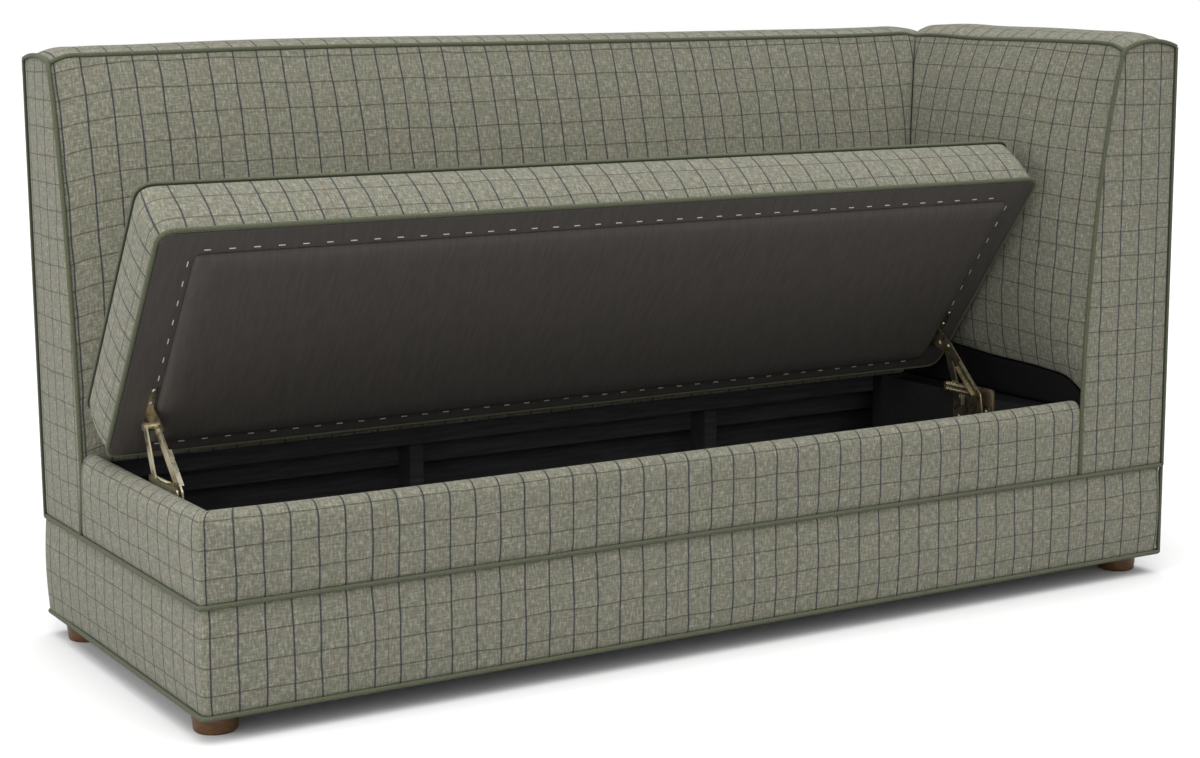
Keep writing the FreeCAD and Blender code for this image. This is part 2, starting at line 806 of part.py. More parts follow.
setback = float(s.belt_setback)
formed("back_end_cover", end_panel(on_back, -hx, setback, Vector(1, 0, 0)))
formed("arm_front_cover", end_panel(on_arm, -hy, 0.0, Vector(0, 1, 0)))
inner_corner = cord + gap + stand_off
from_left = -hx + cord + gap
from_front = -hy + cord + gap
back_cords = [edge_cord(on_back, back_runs, FRONT_TOP, from_left, arm_top_inner - inner_corner - stand_off),
              edge_cord(on_back, back_runs, REAR_TOP, from_left, hx - 2 * cord)]
arm_cords = [edge_cord(on_arm, arm_runs, FRONT_TOP, from_front, back_top_front - stand_off),
             edge_cord(on_arm, arm_runs, REAR_TOP, from_front, hy - 2 * cord)]
formed("back_pipings", Part.makeCompound(back_cords + end_cords(on_back, -hx - stand_off, setback)))
formed("arm_pipings", Part.makeCompound(arm_cords + end_cords(on_arm, -hy - stand_off, 0.0)))


def outer_cover(place, runs, low, high):
    """The flat cover of a wall's outer face, up to the cord along its top."""
    wires = []
    for run, swell, drop in runs:
        top = wall_points(place, run, swell, drop, 0.0)[REAR_TOP].z - seam
        run = min(max(run, low), high)
        corners = [(0.0, float(upper_low)), (cover, float(upper_low)), (cover, top), (0.0, top)]
        wires.append(polygon([place(run, depth, height) for depth, height in corners]))
    return loft(wires)


formed("back_rear_cover", outer_cover(on_back, back_runs, -hx + seam, hx - cover))
formed("arm_outer_cover", outer_cover(on_arm, arm_runs, -hy + seam, hy - cover))


# Low walls of the box: wadding with a rounded top and the cover over it, mitred at the front left corner.
def at_front(depth, height):
    return Vector(-hx, -hy + depth, height)


def at_left(depth, height):
    return Vector(-hx + depth, -hy, height)


def over_wall(place, depth):
    """The rounded top of a wall wrap at a depth, from its outer to its inner side."""
    centre = float(wall_half)
    return [place(depth, seat_z), place(centre, seat_z + centre - depth), place(2 * centre - depth, seat_z)]


def wadding_section(place, low):
    top = over_wall(place, end_gap)
    corners = [top[2], place(float(skin), seat_z), place(float(skin), low), place(end_gap, low), top[0]]
    return Part.Wire([arc(*top)] + [line(a, b) for a, b in zip(corners, corners[1:])])


def cover_section(place, low):
    outer = over_wall(place, 0.0)
    inner = over_wall(place, cover)
    return Part.Wire([line(place(0.0, low), outer[0]), arc(*outer), line(outer[2], inner[2]),
                      arc(*reversed(inner)), line(inner[0], place(cover, low)),
                      line(place(cover, low), place(0.0, low))])


def corner_wedge(of_left):
    """The half of the front left corner that belongs to the left wall or to the front wall."""
    reach = 4 * float(wall_half)
    low = Vector(-hx - 1, -hy - 1, 0)
    far = low + Vector(reach, reach, 0)
    other = Vector(low.x, far.y, 0) if of_left else Vector(far.x, low.y, 0)
    return Part.Face(polygon([low, far, other])).extrude(UP * (2 * belt + seat_z))


front_end = past_end(on_arm, -hy - 20, 0.0, Vector(0, 100, 0))
left_end = past_end(on_back, -hx - 20, setback, Vector(100, 0, 0))


def front_wall(section):
    long = Part.Face(section).extrude(Vector(arm_face + hx, 0, 0))
    return long.cut(corner_wedge(True)).cut(front_end)


def left_wall(section):
    long = Part.Face(section).extrude(Vector(0, back_face + hy + setback, 0))
    return long.cut(corner_wedge(False)).cut(left_end)


wrap_low = float(upper_low)
fill_height = seat_z - gap - wrap_low
fill_x = arm_face + 2 * seam
fill_y = back_face + setback + 2 * seam
front_fill = Part.makeBox(float(panel_out_x) - fill_x, float(s.wadding) - gap, fill_height,
                          Vector(fill_x, -hy + end_gap, wrap_low))
left_fill = Part.makeBox(float(s.wadding) - gap, float(panel_out_y) - fill_y, fill_height,
                         Vector(-hx + end_gap, fill_y, wrap_low))
formed("wall_wadding", Part.makeCompound([
    front_wall(wadding_section(at_front, wrap_low)),
    left_wall(wadding_section(at_left, wrap_low)),
    front_fill,
    left_fill,
]))
formed("front_wall_cover", front_wall(cover_section(at_front, wrap_low)))
formed("left_wall_cover", left_wall(cover_section(at_left, wrap_low)))


# Lower band all round the box, with a cord along its bottom and another at the belt.
def rounded_rectangle(x, y, radius, z):
    """A level rectangle with round corners, as lines and quarter arcs."""
    corners = [(x[1] - radius, y[0] + radius, -90), (x[1] - radius, y[1] - radius, 0),
               (x[0] + radius, y[1] - radius, 90), (x[0] + radius, y[0] + radius, 180)]
    arcs = []
    for across, along, start in corners:
        turns = [math.radians(start + step) for step in (0, 45, 90)]
        arcs.append([Vector(across + radius * math.cos(t), along + radius * math.sin(t), z) for t in turns])
    edges = []
    for points, following in zip(arcs, arcs[1:] + arcs[:1]):
        edges += [arc(*points), line(points[2], following[0])]
    return edges


def round_box(inset, z):
    """The outline of the box at an inset from its faces."""
    x = (-hx + inset, hx - inset)
    y = (-hy + inset, hy - inset)
    return rounded_rectangle(x, y, float(s.corner_radius) - inset, z)


def band(inset, low, high):
    return Part.Face(Part.Wire(round_box(inset, low))).extrude(UP * (high - low))


hem = float(base_bottom) + cord
panels = Part.makeBox(2 * float(panel_out_x), 2 * float(panel_out_y), belt,
                      Vector(-float(panel_out_x), -float(panel_out_y), float(base_bottom)))
formed("lower_band_wadding", band(end_gap, float(base_bottom), belt).cut(panels))
formed("lower_band_cover", band(0.0, hem + seam, belt - seam).cut(band(cover, hem, belt)))
cord_out = end_gap - cord - gap / 2
base_cords = [tube(round_box(cord_out, height), cord) for height in (hem, belt)]
corner_run = (float(s.corner_radius) + cord + gap / 2) * math.sqrt(0.5) - float(s.corner_radius)
corner_low = Vector(hx + corner_run, -hy - corner_run, hem + seam)
corner_high = Vector(hx + corner_run, -hy - corner_run, belt - seam)
base_cords.append(tube([line(corner_low, corner_high)], cord))
formed("base_pipings", Part.makeCompound(base_cords))

# Seat lid, laid out closed: rear bottom edge on the local X axis, forward along -Y, up along Z.
lid_bottom = s.box_height + s.lid_lift
lid_rear = pad_front_y - s.lid_rear_gap
lid_depth = lid_rear + half_y + s.lid_front_overhang
lid_left = -half_x - s.lid_side_overhang
lid_right = pad_front_x - s.lid_arm_gap


def turned(point, angle):
    """A (y, z) pair turned about the X direction."""
    c = math.cos(math.radians(angle))
    n = math.sin(math.radians(angle))
    return (point[0] * c - point[1] * n, point[0] * n + point[1] * c)


def plus(a, b):
    return (a[0] + b[0], a[1] + b[1])


def minus(a, b):
    return (a[0] - b[0], a[1] - b[1])


def bearing(vector):
    return math.degrees(math.atan2(vector[1], vector[0]))


# Four-bar lift: two pivots on the wall, two on the lid bracket, set out with the lid closed.
front_y = lid_rear - s.front_pivot_forward
front_z = lid_bottom - s.front_pivot_drop
rear_y = lid_rear - s.rear_pivot_forward
rear_z = lid_bottom - s.rear_pivot_drop
front_pivot = (float(front_y), float(front_z))
rear_pivot = (float(rear_y), float(rear_z))
lid_front_local = (-float(s.lid_front_pivot_forward), -float(s.lid_front_pivot_drop))
lid_rear_local = (-float(s.lid_rear_pivot_forward), -float(s.lid_rear_pivot_drop))
rear_edge_closed = (float(lid_rear), float(lid_bottom))
front_arm_closed = minus(plus(rear_edge_closed, lid_front_local), front_pivot)
rear_arm_closed = minus(plus(rear_edge_closed, lid_rear_local), rear_pivot)
front_arm_length = hypotenuse(s.front_pivot_forward - s.lid_front_pivot_forward,
                              s.front_pivot_drop - s.lid_front_pivot_drop)
rear_arm_length = hypotenuse(s.rear_pivot_forward - s.lid_rear_pivot_forward,
                             s.rear_pivot_drop - s.lid_rear_pivot_drop)
front_arm_angle = bearing(front_arm_closed) + float(s.front_arm_swing)
rear_arm_angle = bearing(rear_arm_closed) + float(s.rear_arm_swing)
lid_angle = -float(s.lid_open_angle)
lid_pivot_open = plus(front_pivot, turned((float(front_arm_length), 0), front_arm_angle))
rear_edge_open = minus(lid_pivot_open, turned(lid_front_local, lid_angle))
lid_end_open = plus(rear_edge_open, turned(lid_rear_local, lid_angle))
lid_pose = Placement(Vector(0, *rear_edge_open), Rotation(ALONG_X, lid_angle))
arm_end_open = plus(rear_pivot, turned((float(rear_arm_length), 0), rear_arm_angle))
print("front base pivot y, z:", [round(v, 3) for v in front_pivot])
print("rear base pivot y, z:", [round(v, 3) for v in rear_pivot])
print("lid pivot open y, z:", [round(v, 3) for v in lid_pivot_open])
print("rear edge open y, z:", [round(v, 3) for v in rear_edge_open])
print("open pivot mismatch at rest, mm:", round(math.dist(arm_end_open, lid_end_open), 3))


def on_lid(x, height):
    """The lid's open pose, for a piece drawn at an x and a height of the lid."""
    return lid_pose.multiply(Placement(Vector(float(x), 0, float(height)), Rotation()))


def lid_plate(label, x, y, thickness, height, radius):
    """A level board of the lid with rounded corners."""
    body = doc.addObject("PartDesign::Body", label)
    sketch = sketch_on(body, "XY_Plane", label + "_outline")
    draw_outline(sketch, [(x[0], y[0]), (x[1], y[0]), (x[1], y[1]), (x[0], y[1])])
    round_corners(body, pad(body, sketch, thickness), UP, radius)
    body.Placement = on_lid(0, height)
    return keep(body, label)


edge_inset = s.piping_diameter + s.soft_gap
board_x = (lid_left + edge_inset, lid_right - edge_inset)
board_y = (-lid_depth + edge_inset, -edge_inset)
board_radius = s.lid_corner_radius - edge_inset
lid_plate("lid_board", board_x, board_y, s.lid_board, s.lid_cloth, board_radius)
lid_plate("lid_underside_cloth", board_x, board_y, s.lid_cloth, 0, board_radius)
under_x = (hinge_face_left + s.under_panel_hinge_gap, hinge_face_right - s.under_panel_hinge_gap)
under_y = (-lid_depth + s.under_panel_front, -s.under_panel_rear)
lid_plate("lid_underside_panel", under_x, under_y, s.under_panel, -s.under_panel, s.under_panel_radius)

boxing_low = float(edge_inset)
boxing_high = float(s.lid_thickness - edge_inset)
side_inset = stand_off + cord
LEAST_CORNER = 4.0


def lid_outline(inset, z):
    x = (float(lid_left) + inset, float(lid_right) - inset)
    y = (-float(lid_depth) + inset, -inset)
    return rounded_rectangle(x, y, max(float(s.lid_corner_radius) - inset, LEAST_CORNER), z)


def lid_sides(inset):
    """The boxing's form: level with the cords at both seams, full half way up."""
    middle = (boxing_low + boxing_high) / 2
    levels = [(inset, boxing_low), (inset - float(s.lid_bulge), middle), (inset, boxing_high)]
    return loft([Part.Wire(lid_outline(*level)) for level in levels])


# Share of the run in from the seam, and share of the rise, of the seat's crown.
CROWN_SHARES = [(0.0, 0.0), (0.22, 0.5), (0.6, 0.88), (1.0, 1.0)]


def lid_crown(low):
    """The crowned top of the seat above its upper seam."""
    start = float(edge_inset)
    run = float(s.lid_crown_run)
    rise = float(s.lid_crown)
    return loft([Part.Wire(lid_outline(start + run * across, low + rise * up)) for across, up in CROWN_SHARES])


formed("lid_boxing", lid_sides(side_inset).cut(lid_sides(side_inset + cover)), lid_pose)
board_top = float(s.lid_cloth + s.lid_board)
below_foam = Part.makeBox(4 * hx, 4 * hy, board_top, Vector(-2 * hx, -3 * hy, 0))
foam_sides = lid_sides(side_inset + end_gap).cut(below_foam)
formed("lid_foam", foam_sides.fuse(lid_crown(boxing_high)).removeSplitter(), lid_pose)
formed("lid_top_cover", lid_crown(boxing_high + end_gap).cut(lid_crown(boxing_high + gap)), lid_pose)
lid_cord_heights = (cord, float(s.lid_thickness) - cord)
lid_cords = [tube(lid_outline(cord, z), cord) for z in lid_cord_heights]
formed("lid_pipings", Part.makeCompound(lid_cords), lid_pose)


def staples():
    """Crowns of the staples that hold the underside cloth, round the raised panel."""
    out = float(s.staple_set_out)
    pitch = float(s.staple_pitch)
    long = float(s.staple_length)
    wire = float(s.staple_wire)
    x_low, x_high = (float(v) for v in under_x)
    y_low, y_high = (float(v) for v in under_y)
    found = []
    for number in range(int((x_high - x_low) / pitch)):
        x = x_low + pitch * (number + 0.5)
        for y in (y_low - out, y_high + out):
            found.append(Part.makeBox(long, wire, wire, Vector(x - long / 2, y - wire / 2, -wire)))
    for number in range(int((y_high - y_low) / pitch)):
        y = y_low + pitch * (number + 0.5)
        if -float(s.bracket_front) - long < y < -float(s.bracket_rear) + long:
            continue
        for x in (x_low - out, x_high + out):
            found.append(Part.makeBox(wire, long, wire, Vector(x - wire / 2, y - long / 2, -wire)))
    return Part.makeCompound(found)


formed("lid_staples", staples(), lid_pose)

# Spring-lift hinges. Each side's pieces are laid out by their distance from the wall they are on:
# plate, rear arm, springs, front arm, and the web of the lid's bracket.
SIDES = {"left": (hinge_face_left, 1), "right": (hinge_face_right, -1)}
rear_near = s.hinge_sheet + s.arm_side_gap
rear_far = rear_near + s.hinge_sheet + s.arm_side_gap
spring_reach = s.spring_first + s.spring_diameter / 2 + s.soft_gap
front_near = spring_reach + s.arm_side_gap
front_far = front_near + s.arm_sheet + s.arm_side_gap
web_near = front_near + s.arm_sheet + s.arm_lid_gap
web_far = web_near + s.hinge_sheet
pin_radius = s.pin_diameter / 2
pin_hole = pin_radius + s.pin_clearance
open_hole = pin_radius + s.open_pivot_clearance
screw_hole = s.screw_diameter / 2 + s.screw_clearance
spring_z = rear_z + s.spring_rise
spring_top = spring_z + s.spring_row
half_tab = s.spring_tab_height / 2
spring_rear_face = rear_y + s.spring_behind - s.hinge_sheet / 2
spring_front_face = spring_rear_face - s.spring_front_run


def inward(side, distance):
    """The x of a plane at a distance from the wall that a hinge is on."""
    face, sign = SIDES[side]
    return face + as_size(distance) * sign


def rectangle(low, high):
    return [(low[0], low[1]), (high[0], low[1]), (high[0], high[1]), (low[0], high[1])]


def sheet_piece(body, name, side, corners, thickness, radius=None, holes=(), to_wall=False):
    """A flat steel piece on the hinge's plane, padded away from the wall or towards it."""
    sketch = sketch_on(body, "YZ_Plane", f"{name}_{side}")
    draw_outline(sketch, corners)
    for across, up, hole in holes:
        draw_hole(sketch, across, up, hole)
    solid = pad(body, sketch, thickness, reverse=(side == "right") != to_wall)
    if radius is None:
        return solid
    return round_corners(body, solid, ALONG_X, radius)


BASE_SCREWS = [
    (front_y + s.base_screw_near, front_z + s.base_screw_far),
    (front_y + s.base_screw_far, front_z - s.base_screw_near),
    (rear_y + s.base_screw_near, rear_z - s.base_screw_far),
]


def hinge_base(side):
    """Plate on the wall with a tab that the springs pull on."""
    body = doc.addObject("PartDesign::Body", "hinge_base_" + side)
    low = (front_y - s.base_plate_margin, front_z - s.base_plate_margin)
    high = (rear_y + s.base_plate_margin, spring_top + half_tab)
    holes = [(y, z, screw_hole) for y, z in BASE_SCREWS]
    sheet_piece(body, "base_plate", side, rectangle(low, high), s.hinge_sheet, s.base_plate_radius, holes)
    tab_low = (spring_front_face - s.hinge_sheet, spring_z - half_tab)
    tab_high = (spring_front_face, spring_top + half_tab)
    sheet_piece(body, "base_tab", side, rectangle(tab_low, tab_high), spring_reach)
    body.setExpression("Placement.Base.x", inward(side, 0).text)
    return body


def swung_body(label, side, near, pivot, angle):
    body = doc.addObject("PartDesign::Body", label)
    body.Placement = Placement(Vector(float(inward(side, near)), *pivot), Rotation(ALONG_X, angle))
    return body


FULL_ROUND = 0.99


def beside(point, angle, ahead, aside):
    """A point at distances ahead and aside of another along a direction."""
    return plus(point, turned((ahead, aside), angle))


def front_arm(side):
    """The wide arm: a strip with an elbow and two flanges along its upper part."""
    half = float(s.front_arm_width) / 2
    body = swung_body("front_arm_" + side, side, front_near, front_pivot, front_arm_angle)
    foot = (0.0, 0.0)
    elbow = (float(s.front_arm_elbow_run), float(s.front_arm_elbow_out))
    head = (float(front_arm_length), 0.0)
    lower = bearing(minus(elbow, foot))
    upper = bearing(minus(head, elbow))
    middle = (lower + upper) / 2
    corner = half / math.cos(math.radians(lower - upper) / 2)
    strip = [beside(foot, lower, -half, -half), beside(elbow, middle, 0, -corner),
             beside(head, upper, half, -half), beside(head, upper, half, half),
             beside(elbow, middle, 0, corner), beside(foot, lower, -half, half)]
    holes = [(0, 0, pin_hole), (front_arm_length, 0, pin_hole)]
    sheet_piece(body, "front_strip", side, strip, s.arm_sheet, s.front_arm_width / 2 * FULL_ROUND, holes)
    near = float(s.front_arm_flange_start)
    far = math.dist(elbow, head) - float(s.front_arm_flange_stop)
    depth = s.arm_sheet + s.front_arm_flange
    wall = float(s.front_arm_flange_wall)
    for name, low in (("front_flange_low", -half), ("front_flange_high", half - wall)):
        corners = rectangle((near, low), (far, low + wall))
        sheet_piece(body, name, side, [beside(elbow, upper, *place) for place in corners], depth)
    return body


def rear_arm(side):
    """The thin arm, with a wide root whose tab takes the springs."""
    half = s.rear_arm_width / 2
    body = swung_body("rear_arm_" + side, side, rear_near, rear_pivot, rear_arm_angle)
    strip = rectangle((-half, -half), (rear_arm_length + half, half))
    holes = [(0, 0, pin_hole), (rear_arm_length, 0, open_hole)]
    sheet_piece(body, "rear_strip", side, strip, s.hinge_sheet, half * FULL_ROUND, holes)
    low = float(s.spring_rise - half_tab)
    high = float(s.spring_rise + s.spring_row + half_tab)
    face = float(s.spring_behind - s.hinge_sheet / 2)
    end = float(s.spring_behind + s.hinge_sheet / 2)
    root = [(-float(half), -float(s.rear_arm_root) / 2), (end, low), (end, high), (-float(half), high)]
    root = [turned(corner, -rear_arm_angle) for corner in root]
    sheet_piece(body, "rear_root", side, root, s.hinge_sheet, None, [(0, 0, pin_hole)])
    tab = [turned(corner, -rear_arm_angle) for corner in rectangle((face, low), (end, high))]
    sheet_piece(body, "rear_tab", side, tab, spring_reach - rear_near)
    return body


# Shares of the lid bracket's flange, from its rear end, where its two screws are.
BRACKET_SCREWS = (0.62, 0.92)
bracket_screw_y = [-(s.bracket_rear + (s.bracket_front - s.bracket_rear) * share) for share in BRACKET_SCREWS]
bracket_screw_x = -s.bracket_flange / 2


def lid_bracket(side):
    """Angle under the lid: a flange towards the wall and a web down to the two lid pivots."""
    body = doc.addObject("PartDesign::Body", "lid_bracket_" + side)
    margin = s.bracket_web_margin
    u_y = -s.lid_front_pivot_forward
    u_z = -s.lid_front_pivot_drop
    w_y = -s.lid_rear_pivot_forward
    w_z = -s.lid_rear_pivot_drop
    web = [
        (u_y - margin, u_z - margin),
        (u_y + margin, u_z - margin),
        (w_y + margin, w_z),
        (w_y + margin, 0),
        (u_y - margin, 0),
    ]
    holes = [(u_y, u_z, pin_hole), (w_y, w_z, pin_hole)]
    sheet_piece(body, "bracket_web", side, web, s.hinge_sheet, None, holes)
    flange = rectangle((-s.bracket_front, -s.hinge_sheet), (-s.bracket_rear, 0))
    sheet_piece(body, "bracket_flange", side, flange, s.bracket_flange, to_wall=True)
    drill = sketch_on(body, "XY_Plane", "bracket_holes_" + side)
    for y in bracket_screw_y:
        draw_hole(drill, bracket_screw_x * SIDES[side][1], y, screw_hole)
    holes = body.newObject("PartDesign::Pocket", "bracket_drilled_" + side)
    holes.Profile = drill
    holes.setExpression("Length", s.hinge_sheet.text)
    drill.Visibility = False
    doc.recompute()
    body.Placement = on_lid(inward(side, web_near), 0)
    return body


group("hinge_bases", [hinge_base(side) for side in SIDES])
group("front_arms", [front_arm(side) for side in SIDES])
group("rear_arms", [rear_arm(side) for side in SIDES])
group("lid_brackets", [lid_bracket(side) for side in SIDES])


def rivet(side, place, near, far, collars):
    """A rivet across the hinge at a (y, z) place, with heads and collars between pairs of planes."""
    axis = Vector(SIDES[side][1], 0, 0)

    def bar(radius, low, high):
        start = Vector(float(inward(side, low)), *place)
        return Part.makeCylinder(float(radius), float(high - low), start, axis)

    pin = bar(pin_radius, near, far)
    for low, high in collars:
        pin = pin.fuse(bar(s.pin_head_diameter / 2, low, high))
    return pin.removeSplitter()


def screw(start, into):
    """A pan-head wood screw: head on the plate, shank into the wood."""
    height = float(s.screw_head)
    face = start - into * height
    head = Part.makeCylinder(float(s.screw_head_diameter) / 2, height, face, into)
    rim = [edge for edge in head.Edges
           if edge.Length > height and (edge.CenterOfMass - face).Length < height / 4]
    shank = Part.makeCylinder(float(s.screw_diameter) / 2, float(s.screw_length), start, into)
    return head.makeFillet(height / 2, rim).fuse(shank).removeSplitter()


base_pins = []
lid_pins = []
base_screws = []
lid_screws = []
front_end_of_pin = front_far + s.pin_head
rear_end_of_pin = rear_far + s.pin_head
lid_end_of_pin = web_far + s.pin_head
front_inner = front_near - s.arm_side_gap / 2
rear_inner = rear_near - s.arm_side_gap / 2
FRONT_BASE_COLLARS = [(s.hinge_sheet, front_near - s.arm_side_gap), (front_far, front_end_of_pin)]
REAR_BASE_COLLARS = [(rear_far, rear_end_of_pin)]
FRONT_LID_COLLARS = [(front_inner - s.pin_head, front_inner), (web_far, lid_end_of_pin)]
REAR_LID_COLLARS = [(rear_inner - s.pin_head, rear_inner), (rear_far, web_near), (web_far, lid_end_of_pin)]
for side, (face, sign) in SIDES.items():
    base_pins.append(rivet(side, front_pivot, s.hinge_sheet, front_end_of_pin, FRONT_BASE_COLLARS))
    base_pins.append(rivet(side, rear_pivot, s.hinge_sheet, rear_end_of_pin, REAR_BASE_COLLARS))
    lid_pins.append(rivet(side, lid_pivot_open, front_inner - s.pin_head, lid_end_of_pin, FRONT_LID_COLLARS))
    lid_pins.append(rivet(side, lid_end_open, rear_inner - s.pin_head, lid_end_of_pin, REAR_LID_COLLARS))
    for y, z in BASE_SCREWS:
        start = Vector(float(inward(side, s.hinge_sheet)), float(y), float(z))
        base_screws.append(screw(start, Vector(-sign, 0, 0)))
    for y in bracket_screw_y:
        start = Vector(float(inward(side, web_near + bracket_screw_x)), float(y), -float(s.hinge_sheet))
        lid_screws.append(screw(start, UP))
formed("hinge_base_pins", Part.makeCompound(base_pins))
formed("hinge_lid_pins", Part.makeCompound(lid_pins))
formed("hinge_base_screws", Part.makeCompound(base_screws))
formed("lid_bracket_screws", Part.makeCompound(lid_screws), lid_pose)


# Two close-coiled springs on each hinge, one above the other between the plate's tab and the rear arm's tab.
def biarc(a, along_a, b, along_b):
    """Two arcs that leave a and reach b along given directions."""
    chord = b - a
    reach = chord.dot(along_a + along_b)
    square = 2 * (1 - along_a.dot(along_b))
    if square < 1e-9:
        step = chord.dot(chord) / (2 * reach)
    else:
        step = (math.sqrt(reach * reach + square * chord.dot(chord)) - reach) / square
    joint = (a + b + (along_a - along_b) * step) * 0.5
    return [tangent_arc(a, along_a, joint), tangent_arc(b, along_b * -1, joint)]


LEAD_WIRES = 2.2


def spring_path(x, start, end, z):
    """A coil along Y in quarter turns, with straight ends square to the tabs."""
    wire = float(s.spring_wire)
    radius = (float(s.spring_diameter) - wire) / 2
    turns = int(float(s.spring_turns))
    coil_start = start + wire * (1 + LEAD_WIRES)
    coil_end = end - wire * (1 + LEAD_WIRES)
    pitch = (coil_end - coil_start) / turns
    slope = pitch / (2 * math.pi)
    ahead = Vector(0, 1, 0)

    def at(turn):
        angle = 2 * math.pi * turn
        place = Vector(x + radius * math.cos(angle), coil_start + pitch * turn, z + radius * math.sin(angle))
        along = Vector(-radius * math.sin(angle), slope, radius * math.cos(angle))
        return place, along.normalize()

    first = Vector(x + radius, start, z - radius)
    last = Vector(x + radius, end, z + radius)
    stops = [(first + ahead * wire, ahead)]
    stops += [at(quarter / 4) for quarter in range(4 * turns + 1)]
    stops.append((last - ahead * wire, ahead))
    edges = [line(first, stops[0][0])]
    for (a, along_a), (b, along_b) in zip(stops, stops[1:]):
        edges += biarc(a, along_a, b, along_b)
    return edges + [line(stops[-1][0], last)]


POINTS_PER_ARC = 3
ARCS_PER_TURN = 8


def least_self_gap(edges, wire):
    """The least clear distance from a point of the wire to points half a turn to two turns on."""
    points = []
    for edge in edges:
        span = edge.LastParameter - edge.FirstParameter
        points += [edge.valueAt(edge.FirstParameter + span * n / POINTS_PER_ARC) for n in range(POINTS_PER_ARC)]
    turn = POINTS_PER_ARC * ARCS_PER_TURN
    distances = [(points[i] - points[j]).Length for i in range(len(points))
                 for j in range(i + turn // 2, min(i + 2 * turn, len(points)))]
    return min(distances) - wire


def coil_spring(side, row):
    x = float(inward(side, s.spring_first))
    end = float(spring_rear_face) - gap
    edges = spring_path(x, float(spring_front_face), end, float(spring_z + s.spring_row * row))
    wire = float(s.spring_wire)
    start = edges[0].Vertexes[0].Point
    section = Part.Wire([Part.Circle(start, Vector(0, 1, 0), wire / 2).toShape()])
    print(side, "spring, least gap to itself, mm:", round(least_self_gap(edges, wire), 3))
    return Part.Wire(Part.__sortEdges__(edges)).makePipeShell([section], True, False)


for side in SIDES:
    formed("springs_" + side, Part.makeCompound([coil_spring(side, row) for row in range(2)]))

doc.recompute()
for piece in doc.Objects:
    if "Invalid" in piece.State or "Error" in piece.State:
        raise RuntimeError(f"{piece.Label} did not build: {piece.State}")
for piece in nodes:
    shape = piece.Shape
    if shape.isNull() or not shape.isValid() or not shape.Solids:
        raise RuntimeError(f"{piece.Label} is not a sound solid")
os.makedirs("parts", exist_ok=True)
for piece in nodes:
    piece.Shape.exportStep(f"parts/{piece.Label}.step")
print(len(nodes), "pieces written")
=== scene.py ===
# %% [markdown]
# # A storage banquette in windowpane tweed
# The real object is a plywood box on four low feet, with a padded back along its whole length, a padded
# arm at the right end and a seat that swings up on two spring-lift hinges. Every soft part is a panel of
# tweed pulled over foam and sewn to its neighbours with an olive cord in the seam.
# The hard parts come ready made in a measured frame. This lesson makes the soft parts on top of it, so
# the first step loads the frame before anything is added.

# %% Load the measured frame
import math
import bpy
import numpy as np
from mathutils import Matrix, Vector


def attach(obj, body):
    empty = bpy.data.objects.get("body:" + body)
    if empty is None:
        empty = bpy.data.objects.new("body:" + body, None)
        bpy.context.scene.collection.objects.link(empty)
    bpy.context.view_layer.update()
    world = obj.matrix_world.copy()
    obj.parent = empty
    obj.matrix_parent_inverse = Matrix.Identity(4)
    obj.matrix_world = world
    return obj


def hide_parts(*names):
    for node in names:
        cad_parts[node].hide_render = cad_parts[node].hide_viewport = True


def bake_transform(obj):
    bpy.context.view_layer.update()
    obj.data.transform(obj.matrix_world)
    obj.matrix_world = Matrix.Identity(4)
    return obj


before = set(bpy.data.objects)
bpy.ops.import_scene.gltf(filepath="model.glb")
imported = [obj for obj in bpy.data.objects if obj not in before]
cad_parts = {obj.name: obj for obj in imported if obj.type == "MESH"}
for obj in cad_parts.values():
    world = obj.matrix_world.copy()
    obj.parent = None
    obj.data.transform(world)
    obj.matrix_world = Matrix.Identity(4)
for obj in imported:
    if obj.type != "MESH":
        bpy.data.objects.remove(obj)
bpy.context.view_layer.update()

scene = bpy.context.scene

# %% [markdown]
# ## The camera
# The picture was taken from the front left, a little above the back, with a moderately long lens. The
# camera could be set by eye, but here its place and turn come from measuring the corners of the object
# in the picture: yaw to the right, pitch down, and a very small roll.

# %% Camera
CAMERA_PLACE = (-2.0134, -3.2562, 1.0337)
LENS, SENSOR = 68.14, 36
yaw = math.radians(31.011)
pitch = math.radians(9.529)
roll = -0.0065
forward = Vector((math.sin(yaw) * math.cos(pitch), math.cos(yaw) * math.cos(pitch), -math.sin(pitch)))
level = Vector((math.cos(yaw), -math.sin(yaw), 0))
upward = level.cross(forward)
across = level * math.cos(roll) + upward * math.sin(roll)
above = upward * math.cos(roll) - level * math.sin(roll)
turn = Matrix((across, above, -forward)).transposed()
bpy.ops.object.camera_add(location=CAMERA_PLACE, rotation=turn.to_euler())
camera = bpy.context.object
camera.data.lens = LENS
camera.data.sensor_width = SENSOR
scene.camera = camera
print("camera at", [round(v, 3) for v in camera.location])

# %% [markdown]
# ## Floor and light
# A studio picture on white has broad, soft light from above and from the front left, and even light from
# all round. Two wide suns and a plain white world give that without hot spots, and a panel close to the
# left end makes that end the brightest. The floor is pale and large, so that it fills the background,
# throws light up on the low walls and still takes the shadow.

# %% Floor and light
scene.view_settings.view_transform = "Standard"


def add_node(tree, kind, inputs=None, **settings):
    """A node with its settings; an input is either a value or the output that feeds it."""
    node = tree.nodes.new(kind)
    for name, value in settings.items():
        setattr(node, name, value)
    for key, value in (inputs or {}).items():
        if isinstance(value, bpy.types.NodeSocket):
            tree.links.new(value, node.inputs[key])
        else:
            node.inputs[key].default_value = value
    return node


def new_material(name):
    """An empty node material and its tree."""
    material = bpy.data.materials.new(name)
    material.use_nodes = True
    material.node_tree.nodes.clear()
    return material, material.node_tree


